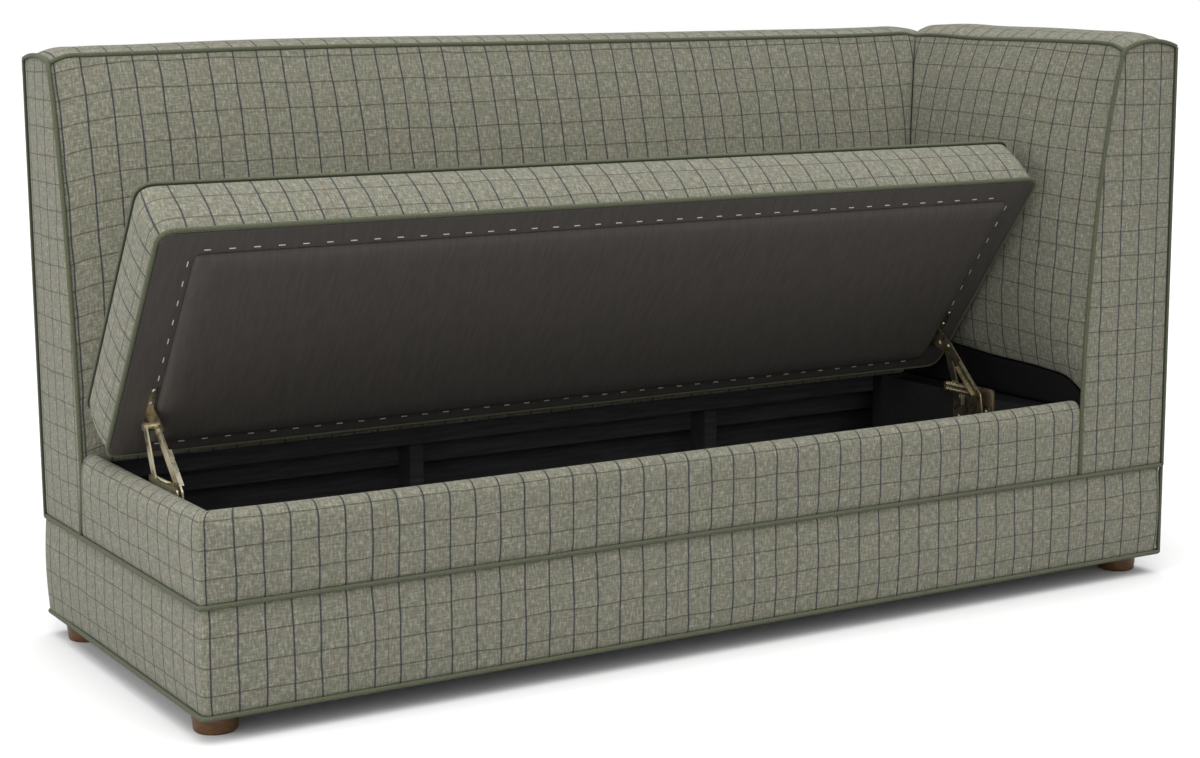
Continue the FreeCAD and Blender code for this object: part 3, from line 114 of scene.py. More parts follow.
WHITE, WORLD_LIGHT = (1, 1, 1, 1), 0.38
world = bpy.data.worlds.new("studio")
world.use_nodes = True
scene.world = world
tree = world.node_tree
tree.nodes.clear()
ray = add_node(tree, "ShaderNodeLightPath")
lit = add_node(tree, "ShaderNodeBackground", {"Color": WHITE, "Strength": WORLD_LIGHT})
seen = add_node(tree, "ShaderNodeBackground", {"Color": WHITE, "Strength": 1.0})
sky = add_node(tree, "ShaderNodeMixShader", {0: ray.outputs["Is Camera Ray"], 1: lit.outputs[0],
                                             2: seen.outputs[0]})
add_node(tree, "ShaderNodeOutputWorld", {"Surface": sky.outputs[0]})


def add_sun(name, towards, strength, spread):
    """A wide, soft light shining from a direction."""
    bpy.ops.object.light_add(type="SUN", rotation=Vector(towards).to_track_quat("Z", "Y").to_euler())
    sun = bpy.context.object
    sun.name = name
    sun.data.energy = strength
    sun.data.angle = math.radians(spread)


add_sun("top_light", (0.02, -0.12, 1.0), 2.5, 70)
add_sun("fill_light", (-0.40, -0.88, 0.35), 0.91, 60)
LEFT_LIGHT, LEFT_END = Vector((-3.2, -0.5, 1.2)), Vector((-0.9, 0.0, 0.4))
aim = (LEFT_LIGHT - LEFT_END).to_track_quat("Z", "Y").to_euler()
bpy.ops.object.light_add(type="AREA", location=LEFT_LIGHT, rotation=aim)
panel = bpy.context.object
panel.name = "left_light"
panel.data.size = 1.6
panel.data.energy = 27

bpy.ops.mesh.primitive_plane_add(size=60)
floor = bpy.context.object
floor.name = "floor"
floor_material, tree = new_material("studio_floor")
ray = add_node(tree, "ShaderNodeLightPath")
shade = add_node(tree, "ShaderNodeMix", {"Factor": ray.outputs["Is Camera Ray"]}, data_type="RGBA")
shade.inputs[6].default_value = (0.52, 0.52, 0.52, 1)
shade.inputs[7].default_value = (0.95, 0.95, 0.95, 1)
matt = add_node(tree, "ShaderNodeBsdfDiffuse", {"Color": shade.outputs[2]})
add_node(tree, "ShaderNodeOutputMaterial", {"Surface": matt.outputs[0]})
floor.data.materials.append(floor_material)

# %% [markdown]
# ## The tweed
# The cloth is a heathered grey-green with a windowpane check: dark navy lines up the cloth every 42 mm
# and thinner brown ones across it, and one fine red-brown thread runs up the front. It could be a picture,
# but a weave made of nodes stays sharp at any distance. Each panel carries its own map, named "cloth", that
# says in metres where on the cloth a point is, so one set of nodes serves every panel and the lines follow
# the cloth round its curves.

# %% The weave, as a shared group of nodes
CHECK, YARN = 0.042, 0.0018


def maths(tree, operation, a, b=0.0, c=0.0):
    """One sum, product or other step of arithmetic between values."""
    return add_node(tree, "ShaderNodeMath", {0: a, 1: b, 2: c}, operation=operation).outputs[0]


def vector_maths(tree, operation, inputs):
    """One step of arithmetic between places on the cloth."""
    return add_node(tree, "ShaderNodeVectorMath", inputs, operation=operation).outputs[0]


def stretched_noise(tree, place, scale, detail=2.0, roughness=0.6, output=0):
    """Noise drawn out along one direction of the cloth."""
    sized = vector_maths(tree, "MULTIPLY", {0: place, 1: scale})
    return add_node(tree, "ShaderNodeTexNoise", {"Vector": sized, "Scale": 1.0, "Detail": detail,
                                                 "Roughness": roughness}).outputs[output]


def blend_colours(tree, share, a, b):
    """A mix of two colours."""
    return add_node(tree, "ShaderNodeMix", {0: share, 6: a, 7: b}, data_type="RGBA").outputs[2]


def eased(tree, value, low, high, out_low, out_high):
    """A value moved from one range to another with soft ends."""
    return add_node(tree, "ShaderNodeMapRange", {0: value, 1: low, 2: high, 3: out_low, 4: out_high},
                    interpolation_type="SMOOTHSTEP").outputs[0]


def new_group(name, outputs):
    """An empty group of nodes with named outputs."""
    group = bpy.data.node_groups.new(name, "ShaderNodeTree")
    for label, kind in outputs.items():
        group.interface.new_socket(label, in_out="OUTPUT", socket_type=kind)
    return group


weave = new_group("Windowpane tweed", {"Color": "NodeSocketColor", "Height": "NodeSocketFloat"})
place = add_node(weave, "ShaderNodeUVMap", uv_map="cloth").outputs[0]
pulled = place
for fineness, reach in ((11, 0.007), (420, 0.0012)):
    stray = stretched_noise(weave, place, (fineness, fineness, 1), 1.0, output="Color")
    stray = vector_maths(weave, "SUBTRACT", {0: stray, 1: (0.5, 0.5, 0.5)})
    stray = vector_maths(weave, "SCALE", {0: stray, "Scale": reach})
    pulled = vector_maths(weave, "ADD", {0: pulled, 1: stray})
thread = add_node(weave, "ShaderNodeSeparateXYZ", {0: pulled})


def check_line(across, core, edge, wear, low, high, weakest, strongest):
    """A line in every check, with soft edges and unevenly worn."""
    line = eased(weave, maths(weave, "PINGPONG", across, CHECK / 2), core, edge, 1.0, 0.0)
    worn = stretched_noise(weave, place, wear, 2.0)
    return maths(weave, "MULTIPLY", line, eased(weave, worn, low, high, weakest, strongest))


level_line = check_line(thread.outputs[1], 0.0004, 0.0017, (160, 700, 1), 0.30, 0.58, 0.38, 0.82)
upright_line = check_line(thread.outputs[0], 0.0008, 0.0020, (900, 240, 1), 0.25, 0.55, 0.68, 0.97)
streak = stretched_noise(weave, place, (300, 75, 1), 4.0, 0.75)
cross = stretched_noise(weave, place, (70, 330, 1), 3.0, 0.7)
fleck = stretched_noise(weave, place, (1500, 1300, 1), 1.0)
patch = stretched_noise(weave, place, (48, 30, 1), 2.0)
red_thread = maths(weave, "ABSOLUTE", maths(weave, "ADD", thread.outputs[0], 0.6085))
YARNS = [
    (eased(weave, patch, 0.35, 0.65, 0.0, 1.0), (0.243, 0.233, 0.178, 1)),
    (eased(weave, streak, 0.34, 0.60, 0.62, 0.0), (0.105, 0.108, 0.078, 1)),
    (eased(weave, streak, 0.50, 0.70, 0.0, 0.62), (0.447, 0.429, 0.340, 1)),
    (eased(weave, cross, 0.34, 0.58, 0.48, 0.0), (0.121, 0.118, 0.085, 1)),
    (eased(weave, cross, 0.52, 0.72, 0.0, 0.45), (0.418, 0.394, 0.311, 1)),
    (eased(weave, fleck, 0.36, 0.24, 0.0, 0.5), (0.058, 0.062, 0.052, 1)),
    (eased(weave, fleck, 0.62, 0.75, 0.0, 0.5), (0.506, 0.494, 0.420, 1)),
    (level_line, (0.062, 0.049, 0.036, 1)),
    (upright_line, (0.031, 0.036, 0.045, 1)),
    (eased(weave, red_thread, 0.0003, 0.0012, 0.75, 0.0), (0.150, 0.085, 0.060, 1)),
]
colour = (0.224, 0.230, 0.170, 1)
for share, yarn in YARNS:
    colour = blend_colours(weave, share, colour, yarn)
over, under = (maths(weave, "SINE", maths(weave, "MULTIPLY", thread.outputs[k], 2 * math.pi / YARN))
               for k in range(2))
height = maths(weave, "ADD", maths(weave, "MULTIPLY", over, under), maths(weave, "MULTIPLY", streak, 2.0))
add_node(weave, "NodeGroupOutput", {"Color": colour, "Height": height})
print("tweed group:", len(weave.nodes), "nodes")

# %% [markdown]
# ## The other materials
# The cord in the seams is the same olive all through, with painted shade that darkens it where it turns into
# the seam. The storage box is lined in black, the lid has a brown-black lining underneath, the hinges are
# yellow zinc and the feet are dark stained wood. The ledge under the arm is painted darker than the lining,
# as painted shade under the arm's cushion. Each is a Principled shader with a little noise in its colour,
# so that nothing is perfectly even.

# %% Materials
def surface(tree, inputs):
    """The Principled shader joined to the material's output."""
    shader = add_node(tree, "ShaderNodeBsdfPrincipled", inputs)
    add_node(tree, "ShaderNodeOutputMaterial", {"Surface": shader.outputs[0]})


def bumped(tree, height, distance, strength):
    """A normal that follows a height."""
    return add_node(tree, "ShaderNodeBump", {"Height": height, "Distance": distance,
                                             "Strength": strength}).outputs[0]


tweed, tree = new_material("tweed")
cloth = add_node(tree, "ShaderNodeGroup", node_tree=weave)
surface(tree, {"Base Color": cloth.outputs["Color"], "Roughness": 0.95, "Specular IOR Level": 0.15,
               "Sheen Weight": 0.12, "Sheen Roughness": 0.6,
               "Normal": bumped(tree, cloth.outputs["Height"], 0.0005, 0.35)})

CORD, TWILL = 0.0038, 0.0016
olive, tree = new_material("olive_cord_cloth")
place = add_node(tree, "ShaderNodeUVMap", uv_map="cloth").outputs[0]
parts = add_node(tree, "ShaderNodeSeparateXYZ", {0: place})
slant = maths(tree, "MULTIPLY", maths(tree, "ADD", parts.outputs[0], parts.outputs[1]), 2 * math.pi / TWILL)
twill = maths(tree, "SINE", slant)
fibre = stretched_noise(tree, place, (260, 700, 1), 2.0)
shade = blend_colours(tree, eased(tree, fibre, 0.3, 0.7, 0.0, 1.0), (0.066, 0.075, 0.041, 1),
                      (0.120, 0.129, 0.075, 1))
# painted shade: the olive darkens to a near-black olive on the side of the cord that turns into the seam,
# where shade falls
outward = maths(tree, "COSINE", maths(tree, "MULTIPLY", parts.outputs[1], 1 / CORD))
shade = blend_colours(tree, eased(tree, outward, 0.35, -0.30, 0.0, 0.85), shade, (0.018, 0.021, 0.012, 1))
surface(tree, {"Base Color": shade, "Roughness": 0.8, "Specular IOR Level": 0.3, "Sheen Weight": 0.1,
               "Normal": bumped(tree, twill, 0.0003, 0.4)})


def plain_material(name, dark, light, scale, roughness, gloss=0.5, **more):
    """A material whose colour drifts between two shades over the object."""
    material, tree = new_material(name)
    place = add_node(tree, "ShaderNodeTexCoord").outputs["Object"]
    drift = stretched_noise(tree, place, scale, 4.0)
    shade = blend_colours(tree, eased(tree, drift, 0.3, 0.7, 0.0, 1.0), (*dark, 1), (*light, 1))
    surface(tree, {"Base Color": shade, "Normal": bumped(tree, drift, 0.0004, 0.25), "Roughness": roughness,
                   "Specular IOR Level": gloss, **more})
    return material


lining = plain_material("black_lining", (0.016, 0.016, 0.016), (0.029, 0.028, 0.027), (500, 500, 500),
                        0.9, 0.2)
under_cloth = plain_material("underside_cloth", (0.057, 0.051, 0.045), (0.071, 0.063, 0.055), (190, 24, 24),
                             0.75, 0.35)
black_wood = plain_material("black_timber", (0.034, 0.035, 0.037), (0.060, 0.060, 0.063), (12, 160, 160),
                            0.7, 0.3)
# painted shade: this black cloth is made darker than the black lining, for the shade under the arm's cushion
ledge_cloth_painted_shade = plain_material("ledge_cloth_painted_shade", (0.005, 0.005, 0.005), (0.009, 0.009, 0.009), (500, 500, 500),
                             0.95, 0.1)
foot_wood = plain_material("foot_wood", (0.074, 0.031, 0.008), (0.145, 0.066, 0.019), (70, 70, 300), 0.35,
                           **{"Coat Weight": 0.2})
plywood = plain_material("plywood", (0.42, 0.29, 0.17), (0.55, 0.40, 0.25), (9, 140, 140), 0.7)
strap = plain_material("webbing", (0.40, 0.30, 0.18), (0.52, 0.41, 0.27), (700, 700, 700), 0.9)
steel = plain_material("bright_steel", (0.48, 0.48, 0.47), (0.60, 0.60, 0.59), (200, 200, 200), 0.3,
                       Metallic=1.0)
staple_wire = plain_material("staple_wire", (0.72, 0.72, 0.71), (0.86, 0.86, 0.85), (300, 300, 300), 0.35,
                             Metallic=0.2)
zinc, tree = new_material("yellow_zinc")
place = add_node(tree, "ShaderNodeTexCoord").outputs["Object"]
cloud = stretched_noise(tree, place, (38, 38, 38), 2.0)
bloom = stretched_noise(tree, place, (95, 95, 95), 2.0)
shade = blend_colours(tree, eased(tree, cloud, 0.45, 0.65, 0.0, 0.75), (0.62, 0.55, 0.38, 1),
                      (0.52, 0.54, 0.42, 1))
shade = blend_colours(tree, eased(tree, bloom, 0.52, 0.70, 0.0, 0.7), shade, (0.58, 0.47, 0.41, 1))
surface(tree, {"Base Color": shade, "Metallic": 1.0,
               "Roughness": eased(tree, bloom, 0.3, 0.7, 0.26, 0.42)})

HARD_PARTS = {
    plywood: ["floor_board", "corner_blocks", "floor_cleats", "back_rear_board", "back_top_rail",
              "arm_posts", "arm_top_rail", "arm_outer_board", "lid_board"],
    black_wood: ["box_panels", "hinge_board", "seat_rail", "lower_rail", "back_posts"],
    ledge_cloth_painted_shade: ["arm_ledge"],
    foot_wood: ["foot_front_left", "foot_front_right", "foot_rear_left", "foot_rear_right"],
    lining: ["storage_lining", "dust_cloth"],
    strap: ["back_webbing"],
    zinc: ["hinge_bases", "front_arms", "rear_arms", "lid_brackets", "hinge_base_pins", "hinge_lid_pins"],
    steel: ["foot_bolts", "hinge_base_screws", "lid_bracket_screws"],
    staple_wire: ["lid_staples"],
}
for material, names in HARD_PARTS.items():
    for name in names:
        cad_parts[name].data.materials.clear()
        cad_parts[name].data.materials.append(material)
print("hard parts given a finish:", sum(len(names) for names in HARD_PARTS.values()))

# %% [markdown]
# ## How a panel of cloth is made
# An upholsterer cuts a flat panel and lays it over the foam. The same is done here: a flat grid is added,
# and every point of it, named by its share of the way across and up, is laid on the form. The grid keeps
# its neat rows, and the map called "cloth" is written at the same time. Each panel is cut from its own place
# along the cloth, so its map starts at its own number of metres.
# The panel is then given a thickness inwards, and its sewn edge is noted in a group called "seam".

# %% Laying a grid on a form
soft_panels = []


def flat_grid(name, columns, rows):
    """A flat grid of faces, one unit wide and high."""
    bpy.ops.object.select_all(action="DESELECT")
    bpy.ops.mesh.primitive_grid_add(x_subdivisions=columns, y_subdivisions=rows, size=1)
    grid = bpy.context.object
    grid.name = name
    grid.data.name = name
    return grid


def points_of(piece):
    """The places of all points of a piece."""
    flat = np.empty(len(piece.data.vertices) * 3)
    piece.data.vertices.foreach_get("co", flat)
    return flat.reshape(-1, 3)


def lay(grid, form, cloth):
    """Moves each point of a grid to its place on a form and writes where on the cloth it is."""
    mesh = grid.data
    u, v = points_of(grid)[:, :2].T + 0.5
    mesh.vertices.foreach_set("co", np.stack(form(u, v), axis=1).ravel())
    corner = np.empty(len(mesh.loops), dtype=int)
    mesh.loops.foreach_get("vertex_index", corner)
    while mesh.uv_layers:
        mesh.uv_layers.remove(mesh.uv_layers[0])
    layer = mesh.uv_layers.new(name="cloth")
    layer.data.foreach_set("uv", np.stack(cloth(u, v), axis=1)[corner].ravel())
    mesh.update()


def pick(*pieces):
    """Selects some pieces alone and makes the first one active."""
    bpy.ops.object.select_all(action="DESELECT")
    for piece in pieces:
        piece.select_set(True)
    bpy.context.view_layer.objects.active = pieces[0]


def in_edit_mode(piece, *steps):
    """Selects the whole of a piece in edit mode and carries out some steps there."""
    pick(piece)
    bpy.ops.object.mode_set(mode="EDIT")
    bpy.ops.mesh.select_all(action="SELECT")
    for step in steps:
        step()
    bpy.ops.object.mode_set(mode="OBJECT")


def face_towards(grid, direction):
    """Turns the grid over if it faces away from a direction."""
    facing = sum((f.normal * f.area for f in grid.data.polygons), Vector())
    if facing.dot(Vector(direction)) < 0:
        in_edit_mode(grid, bpy.ops.mesh.flip_normals)


def apply_modifiers(piece):
    """Makes all modifiers of a piece permanent."""
    pick(piece)
    for name in [m.name for m in piece.modifiers]:
        bpy.ops.object.modifier_apply(modifier=name)


def edge_points(mesh):
    """The points on a mesh's open edge."""
    uses = np.zeros(len(mesh.edges), dtype=int)
    edge_of = np.empty(len(mesh.loops), dtype=int)
    mesh.loops.foreach_get("edge_index", edge_of)
    np.add.at(uses, edge_of, 1)
    return sorted({v for e, n in zip(mesh.edges, uses) if n == 1 for v in e.vertices})


def thicken(grid, depth):
    """Closes a panel inwards; the sewn edge and the hidden side are kept in the group 'seam'."""
    seam = grid.vertex_groups.new(name="seam")
    seam.add(edge_points(grid.data), 1.0, "REPLACE")
    shell = grid.modifiers.new("depth", "SOLIDIFY")
    shell.thickness = depth
    shell.offset = -1.0
    shell.shell_vertex_group = "seam"
    apply_modifiers(grid)


def soft_panel(name, size, form, cloth, facing, puff, depth=0.006, material=tweed, body="base",
               stands_for=(), slot="tweed", closed=False):
    """A padded panel of cloth laid on a form, ready to be filled out."""
    grid = flat_grid(name, *size)
    lay(grid, form, cloth)
    if closed:
        in_edit_mode(grid, lambda: bpy.ops.mesh.remove_doubles(threshold=1e-5))
    if facing is None:
        in_edit_mode(grid, lambda: bpy.ops.mesh.normals_make_consistent(inside=False))
    else:
        face_towards(grid, facing)
    thicken(grid, depth)
    grid.data.materials.append(material)
    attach(grid, body)
    if stands_for:
        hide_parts(*stands_for)
    soft_panels.append((grid, puff))


# %% [markdown]
# ## The shape of the padded walls
# The back and the arm share one section: the inside face leans back in a shallow curve, the top is a low
# crown. The face is fullest just below its top seam. Along its run it swells a little in the middle, the
# top droops close to the free end, and the arm's crown is plumpest a little behind its middle.
# A curve through three points and a smooth line through a few measured places say all of this.

# %% The section of the back and the arm
HALF_X, HALF_Y = 0.915, 0.345
SEAT, BELT, HEM = 0.316, 0.199, 0.0388
MIDDLE, TOP, REAR_TOP = 0.650, 0.958, 0.953
SEAT_DEPTH, MIDDLE_DEPTH, TOP_DEPTH, CROWN_DEPTH, REAR_DEPTH = 0.197, 0.175, 0.124, 0.063, 0.002
CROWN_RISE = 0.0155
BACK_PLACES = [-0.9126, -0.895, -0.850, -0.770, -0.619, -0.016, 0.490, 0.650, 0.735, 0.770, 0.791, 0.9126]
BACK_SWELL = [0, 0.0015, 0.0048, 0.009, 0.0128, 0.015, 0.0113, 0.003, 0, 0, 0, 0]
BACK_DROOP = [0.018, 0.0095, 0.0065, 0.0052, 0.002, 0, -0.002, -0.003, -0.005, -0.006, -0.003, -0.003]
BACK_FULL = [0.004, 0.006, 0.010, 0.013, 0.014, 0.014, 0.014, 0.014, 0.014, 0.014, 0.014, 0.014]
BACK_PLUMP = [0.001, 0, 0, 0, 0, 0, 0, 0, 0, 0, 0, 0]
ARM_PLACES = [-0.3426, -0.325, -0.290, -0.240, -0.097, 0.060, 0.148, 0.221, 0.3426]
ARM_SWELL = [0, 0.0015, 0.0048, 0.0082, 0.015, 0.009, 0, 0, 0]
ARM_DROOP = [0.019, 0.011, 0.0065, 0.0055, 0.0035, 0.002, -0.002, -0.003, -0.003]
ARM_FULL = [0.004, 0.0055, 0.008, 0.011, 0.014, 0.014, 0.014, 0.014, 0.014]
ARM_PLUMP = [0.006, 0.006, 0.006, 0.006, 0.008, 0.009, 0.008, 0.005, 0.003]


def smooth_through(places, values, at):
    """A smooth curve through a few known values, read at many places."""
    places, values = np.asarray(places, float), np.asarray(values, float)
    slopes = np.gradient(values, places)
    at = np.clip(at, places[0], places[-1])
    cell = np.clip(np.searchsorted(places, at) - 1, 0, len(places) - 2)
    width = places[cell + 1] - places[cell]
    t = (at - places[cell]) / width
    rise, fall = slopes[cell] * width, slopes[cell + 1] * width
    return (values[cell] * (1 + 2 * t) * (1 - t) ** 2 + values[cell + 1] * t * t * (3 - 2 * t)
            + rise * t * (1 - t) ** 2 - fall * t * t * (1 - t))


def arc(first, middle, last, share):
    """Points at a share of the arc through three points, and the arc's whole length."""
    side = (last - first) / (middle - first)
    centre = first - (first - middle) * (side - abs(side) ** 2) / (2j * side.imag)
    sweep = np.angle((last - centre) / (first - centre))
    return centre + (first - centre) * np.exp(1j * sweep * share), abs(first - centre) * abs(sweep)


class Wall:
    """One padded wall; a point of its section is its depth from the outer face plus its height times i."""

    def __init__(self, places, swell, droop, full, plump):
        self.places, self.swell, self.droop, self.full, self.plump = places, swell, droop, full, plump

    def top(self, run):
        return TOP - smooth_through(self.places, self.droop, run)

    def rear(self, run):
        return REAR_TOP - 0.5 * smooth_through(self.places, self.droop, run)

    def face(self, run, share):
        swell = smooth_through(self.places, self.swell, run)
        point, length = arc(SEAT_DEPTH + 1j * SEAT + 0 * run, MIDDLE_DEPTH + swell + 1j * MIDDLE,
                            TOP_DEPTH + 1j * self.top(run), share)
        shoulder = np.clip((share - 0.35) / 0.5, 0, 1)
        shoulder = shoulder * shoulder * (3 - 2 * shoulder) * (1 - share ** 10)
        return point + smooth_through(self.places, self.full, run) * shoulder, length

    def crown(self, run, share):
        top, rear = self.top(run), self.rear(run)
        rise = CROWN_RISE - 0.47 * np.maximum(TOP - top, 0) + smooth_through(self.places, self.plump, run)
        return arc(TOP_DEPTH + 1j * top, CROWN_DEPTH + 1j * ((top + rear) / 2 + rise),
                   REAR_DEPTH + 1j * rear, share)


back = Wall(BACK_PLACES, BACK_SWELL, BACK_DROOP, BACK_FULL, BACK_PLUMP)
arm = Wall(ARM_PLACES, ARM_SWELL, ARM_DROOP, ARM_FULL, ARM_PLUMP)
print("top of the back in the middle:", round(float(back.top(np.array([0.0]))[0]), 4), "m")

# %% [markdown]
# ## The back and the arm
# Where the back and the arm meet, both are cut along the same slanting line, a mitre, so the end of each
# panel is not square: it follows the depth of the section. The tweed of the arm stops above the ledge and
# a black strip goes on below it.

# %% Inside faces and tops of the back and the arm
END, FRONT = 0.9138, -0.3438
MITRE_GAP = -0.003
BACK_LIMITS, ARM_LIMITS = (-END, HALF_X, 0.8), (FRONT, HALF_Y, 0.3)
NOTCH_DEPTH, NOTCH_WIDTH = 0.009, 0.022
TOP_LINE = 0.015


def back_spot(run, point):
    """Where a point of the back's section lies."""
    return run, HALF_Y - point.real, point.imag


def arm_spot(run, point):
    """Where a point of the arm's section lies."""
    return HALF_X - point.real, run, point.imag


def notch(run, edge):
    """How far the top sinks into the corner where the two walls meet."""
    return NOTCH_DEPTH * np.exp(-((edge - run) / NOTCH_WIDTH) ** 2)


def to_the_mitre(part, start, half, corner, u, v):
    """Runs from a free end to the slanting line where the walls meet, and that line."""
    edge = half - part(0 * v + corner, v)[0].real - MITRE_GAP
    return start + u * (edge - start), edge


def padded_top(wall, limits):
    """The crown of a wall up to the mitre, where it sinks into the corner."""
    def shape(u, v):
        run, edge = to_the_mitre(wall.crown, *limits, u, v)
        point, length = wall.crown(run, v)
        return run, point - 1j * notch(run, edge), length
    return shape


def back_face(u, v):
    run = to_the_mitre(back.face, *BACK_LIMITS, u, v)[0]
    return (run,) + back.face(run, v)


back_top = padded_top(back, BACK_LIMITS)
arm_top = padded_top(arm, ARM_LIMITS)
HEM_SHARE = [0.030, 0.050, 0.080, 0.090, 0.101, 0.1153, 0.1153, 0.1153, 0.1153]
HEM_ROLL, STRIP_LOW = 0.014, 0.004


def arm_face(u, v):
    run = to_the_mitre(arm.face, *ARM_LIMITS, u, v)[0]
    low = smooth_through(ARM_PLACES, HEM_SHARE, run)
    point, length = arm.face(run, low + v * (1 - low))
    return run, point - HEM_ROLL * np.clip(1 - v / 0.12, 0, 1) ** 2, length, low + v * (1 - low)


def arm_strip(u, v):
    run, hem, length = arm_face(u, 0 * v)[:3]
    low = smooth_through(ARM_PLACES, HEM_SHARE, run)
    return run, arm.face(run, STRIP_LOW + v * (low - STRIP_LOW))[0] + 0.002 - HEM_ROLL * v, length


def face_cloth(shape, shift):
    """Lines up the face keep their place along the run; lines across are counted from the top seam."""
    def cloth(u, v):
        run, point, length = shape(u, v)[:3]
        return run + shift, (1 - v) * length - TOP_LINE
    return cloth


def hanging_cloth(shape, shift, wall, start, sag, reach, power):
    """The same for an inside face, whose level lines hang lower and lower towards its free end."""
    def cloth(u, v):
        run, point, length, share = (shape(u, v) + (v,))[:4]
        drop = (1 - share) * length + np.maximum(smooth_through(wall.places, wall.droop, run), 0)
        return run + shift, drop - TOP_LINE - sag * np.exp(-((run - start) / reach) ** power)
    return cloth


def wall_panel(name, size, shape, spot, cloth, facing, **options):
    """A panel of a padded wall, laid by its run and its section."""
    soft_panel(name, size, lambda u, v: spot(*shape(u, v)[:2]), cloth, facing, **options)


wall_panel("back_inside", (150, 54), back_face, back_spot,
           hanging_cloth(back_face, 2.125, back, -END, sag=0.0235, reach=0.072, power=1),
           (0, -1, 0), puff=0.009, stands_for=["back_inside_cover", "back_foam"])
wall_panel("back_top", (150, 12), back_top, back_spot, face_cloth(back_top, 3.170),
           (0, 0, 1), puff=0.008, stands_for=["back_top_boxing"])
wall_panel("arm_inside", (42, 50), arm_face, arm_spot,
           hanging_cloth(arm_face, 4.042, arm, FRONT, sag=0.015, reach=0.2, power=2),
           (-1, 0, 0), puff=0.009, stands_for=["arm_inside_cover", "arm_foam"])
wall_panel("arm_top", (52, 12), arm_top, arm_spot, face_cloth(arm_top, 5.092),
           (0, 0, 1), puff=0.008, stands_for=["arm_top_boxing"])
# the strip below the arm's hem uses the ledge cloth, painted darker for the shade under the arm's roll
wall_panel("arm_strip", (42, 6), arm_strip, arm_spot, face_cloth(arm_strip, 0.0),
           (-1, 0, 0), puff=0.001, material=ledge_cloth_painted_shade, stands_for=["arm_lining"], slot="black_lining")
print("panels laid:", [p.name for p, puff in soft_panels])

# %% [markdown]
# ## Ends and outside faces
# The left end of the back and the front of the arm are closed by flat panels with a curved front edge.
# Such a panel has four sides, and a patch between its four side curves fills it evenly. The outside faces
# are plain stretched cloth over a thin board.

# %% End panels and outside faces
def along(points):
    """A line through points, read at a share of its length."""
    points = np.asarray(points)
    steps = np.concatenate([[0], np.cumsum(abs(np.diff(points)))])

    def at(share):
        where = np.asarray(share) * steps[-1]
        return np.interp(where, steps, points.real) + 1j * np.interp(where, steps, points.imag)

    at.length = steps[-1]
    return at


SHARES = np.linspace(0, 1, 41)
BACK_FREE, ARM_FREE, BACK_SETBACK = -0.9126, -0.3426, 0.017
SEAM_GAP, CLOTH_ZERO = 0.001, 0.0705


def front_edge(wall, run, setback, low):
    """The curved front edge of an end panel, from the belt to the top."""
    upper = wall.face(0 * SHARES + run, SHARES)[0]
    foot, toe = upper[0], SEAT_DEPTH - setback + 1j * low
    leave, chord = foot - upper[1], toe - foot
    leave, unit = leave / abs(leave), chord / abs(chord)
    aside = leave - unit * (leave * unit.conjugate()).real
    bend = math.acos((leave * unit.conjugate()).real)
    middle = (foot + toe) / 2 + aside / abs(aside) * abs(chord) / 2 * math.tan(bend / 2)
    lower = arc(toe, middle, foot, SHARES)[0]
    return np.concatenate([lower[:-1], upper])


def patch_between(wall, run, setback):
    """An evenly filled patch between the four sides of an end panel."""
    low = BELT + SEAM_GAP
    right = along(front_edge(wall, run, setback, low))
    top = along(wall.crown(0 * SHARES + run, SHARES)[0][::-1])
    left = along([SEAM_GAP + 1j * low, top(0)])
    bottom = along([left(0), right(0)])

    def at(u, v):
        sides = (1 - v) * bottom(u) + v * top(u) + (1 - u) * left(v) + u * right(v)
        corners = ((1 - u) * (1 - v) * bottom(0) + u * (1 - v) * bottom(1)
                   + (1 - u) * v * top(0) + u * v * top(1))
        return sides - corners

    return at


end_patch = patch_between(back, BACK_FREE, BACK_SETBACK)
front_patch = patch_between(arm, ARM_FREE, 0.0)
soft_panel("back_end", (16, 62), lambda u, v: back_spot(0 * u - HALF_X, end_patch(u, v)),
           lambda u, v: (end_patch(u, v).real * 1.05 + 8.3407, (end_patch(u, v).imag - 0.2791) * 0.9745),
           (-1, 0, 0), puff=0.008, stands_for=["back_end_cover"])
soft_panel("arm_front", (16, 62), lambda u, v: arm_spot(0 * u - HALF_Y, front_patch(u, v)),
           lambda u, v: (9.6121 - front_patch(u, v).real, (front_patch(u, v).imag - 0.2787) * 0.963),
           (0, -1, 0), puff=0.006, stands_for=["arm_front_cover"])


def rear_sheet(u, v):
    run = -END + u * 2 * END
    return run, 0 * u + HALF_Y, BELT + SEAM_GAP + v * (back.rear(run) - BELT - SEAM_GAP)


def outer_sheet(u, v):
    run = FRONT - u * 2 * FRONT
    return 0 * u + HALF_X, run, BELT + SEAM_GAP + v * (arm.rear(run) - BELT - SEAM_GAP)


soft_panel("back_rear", (120, 48), rear_sheet,
           lambda u, v: (rear_sheet(u, v)[0] + 6.320, rear_sheet(u, v)[2] - CLOTH_ZERO),
           (0, 1, 0), puff=0.003, stands_for=["back_rear_cover"])
soft_panel("arm_outer", (46, 48), outer_sheet,
           lambda u, v: (outer_sheet(u, v)[1] + 7.630, outer_sheet(u, v)[2] - CLOTH_ZERO),
           (1, 0, 0), puff=0.003, stands_for=["arm_outer_cover"])
print("panels laid:", len(soft_panels))

# %% [markdown]
# ## The low walls and the lower band
# Below the belt a padded band goes round the box. Above it, the front and the left side rise as thick
# padded walls with round tops. The cloth of each side turns half way round its corners and meets its
# neighbour there, so a side is laid by how far along its run a point is and how deep it lies.

# %% Low walls and lower band
CORNER, WALL_CORNER, EASE = 0.007, 0.003, 0.08
STRAIGHT_X = HALF_X - CORNER
STRAIGHT_Y = HALF_Y - CORNER
TURN = CORNER * math.pi / 4
SWELL, SWELL_REACH = 0.004, 0.12


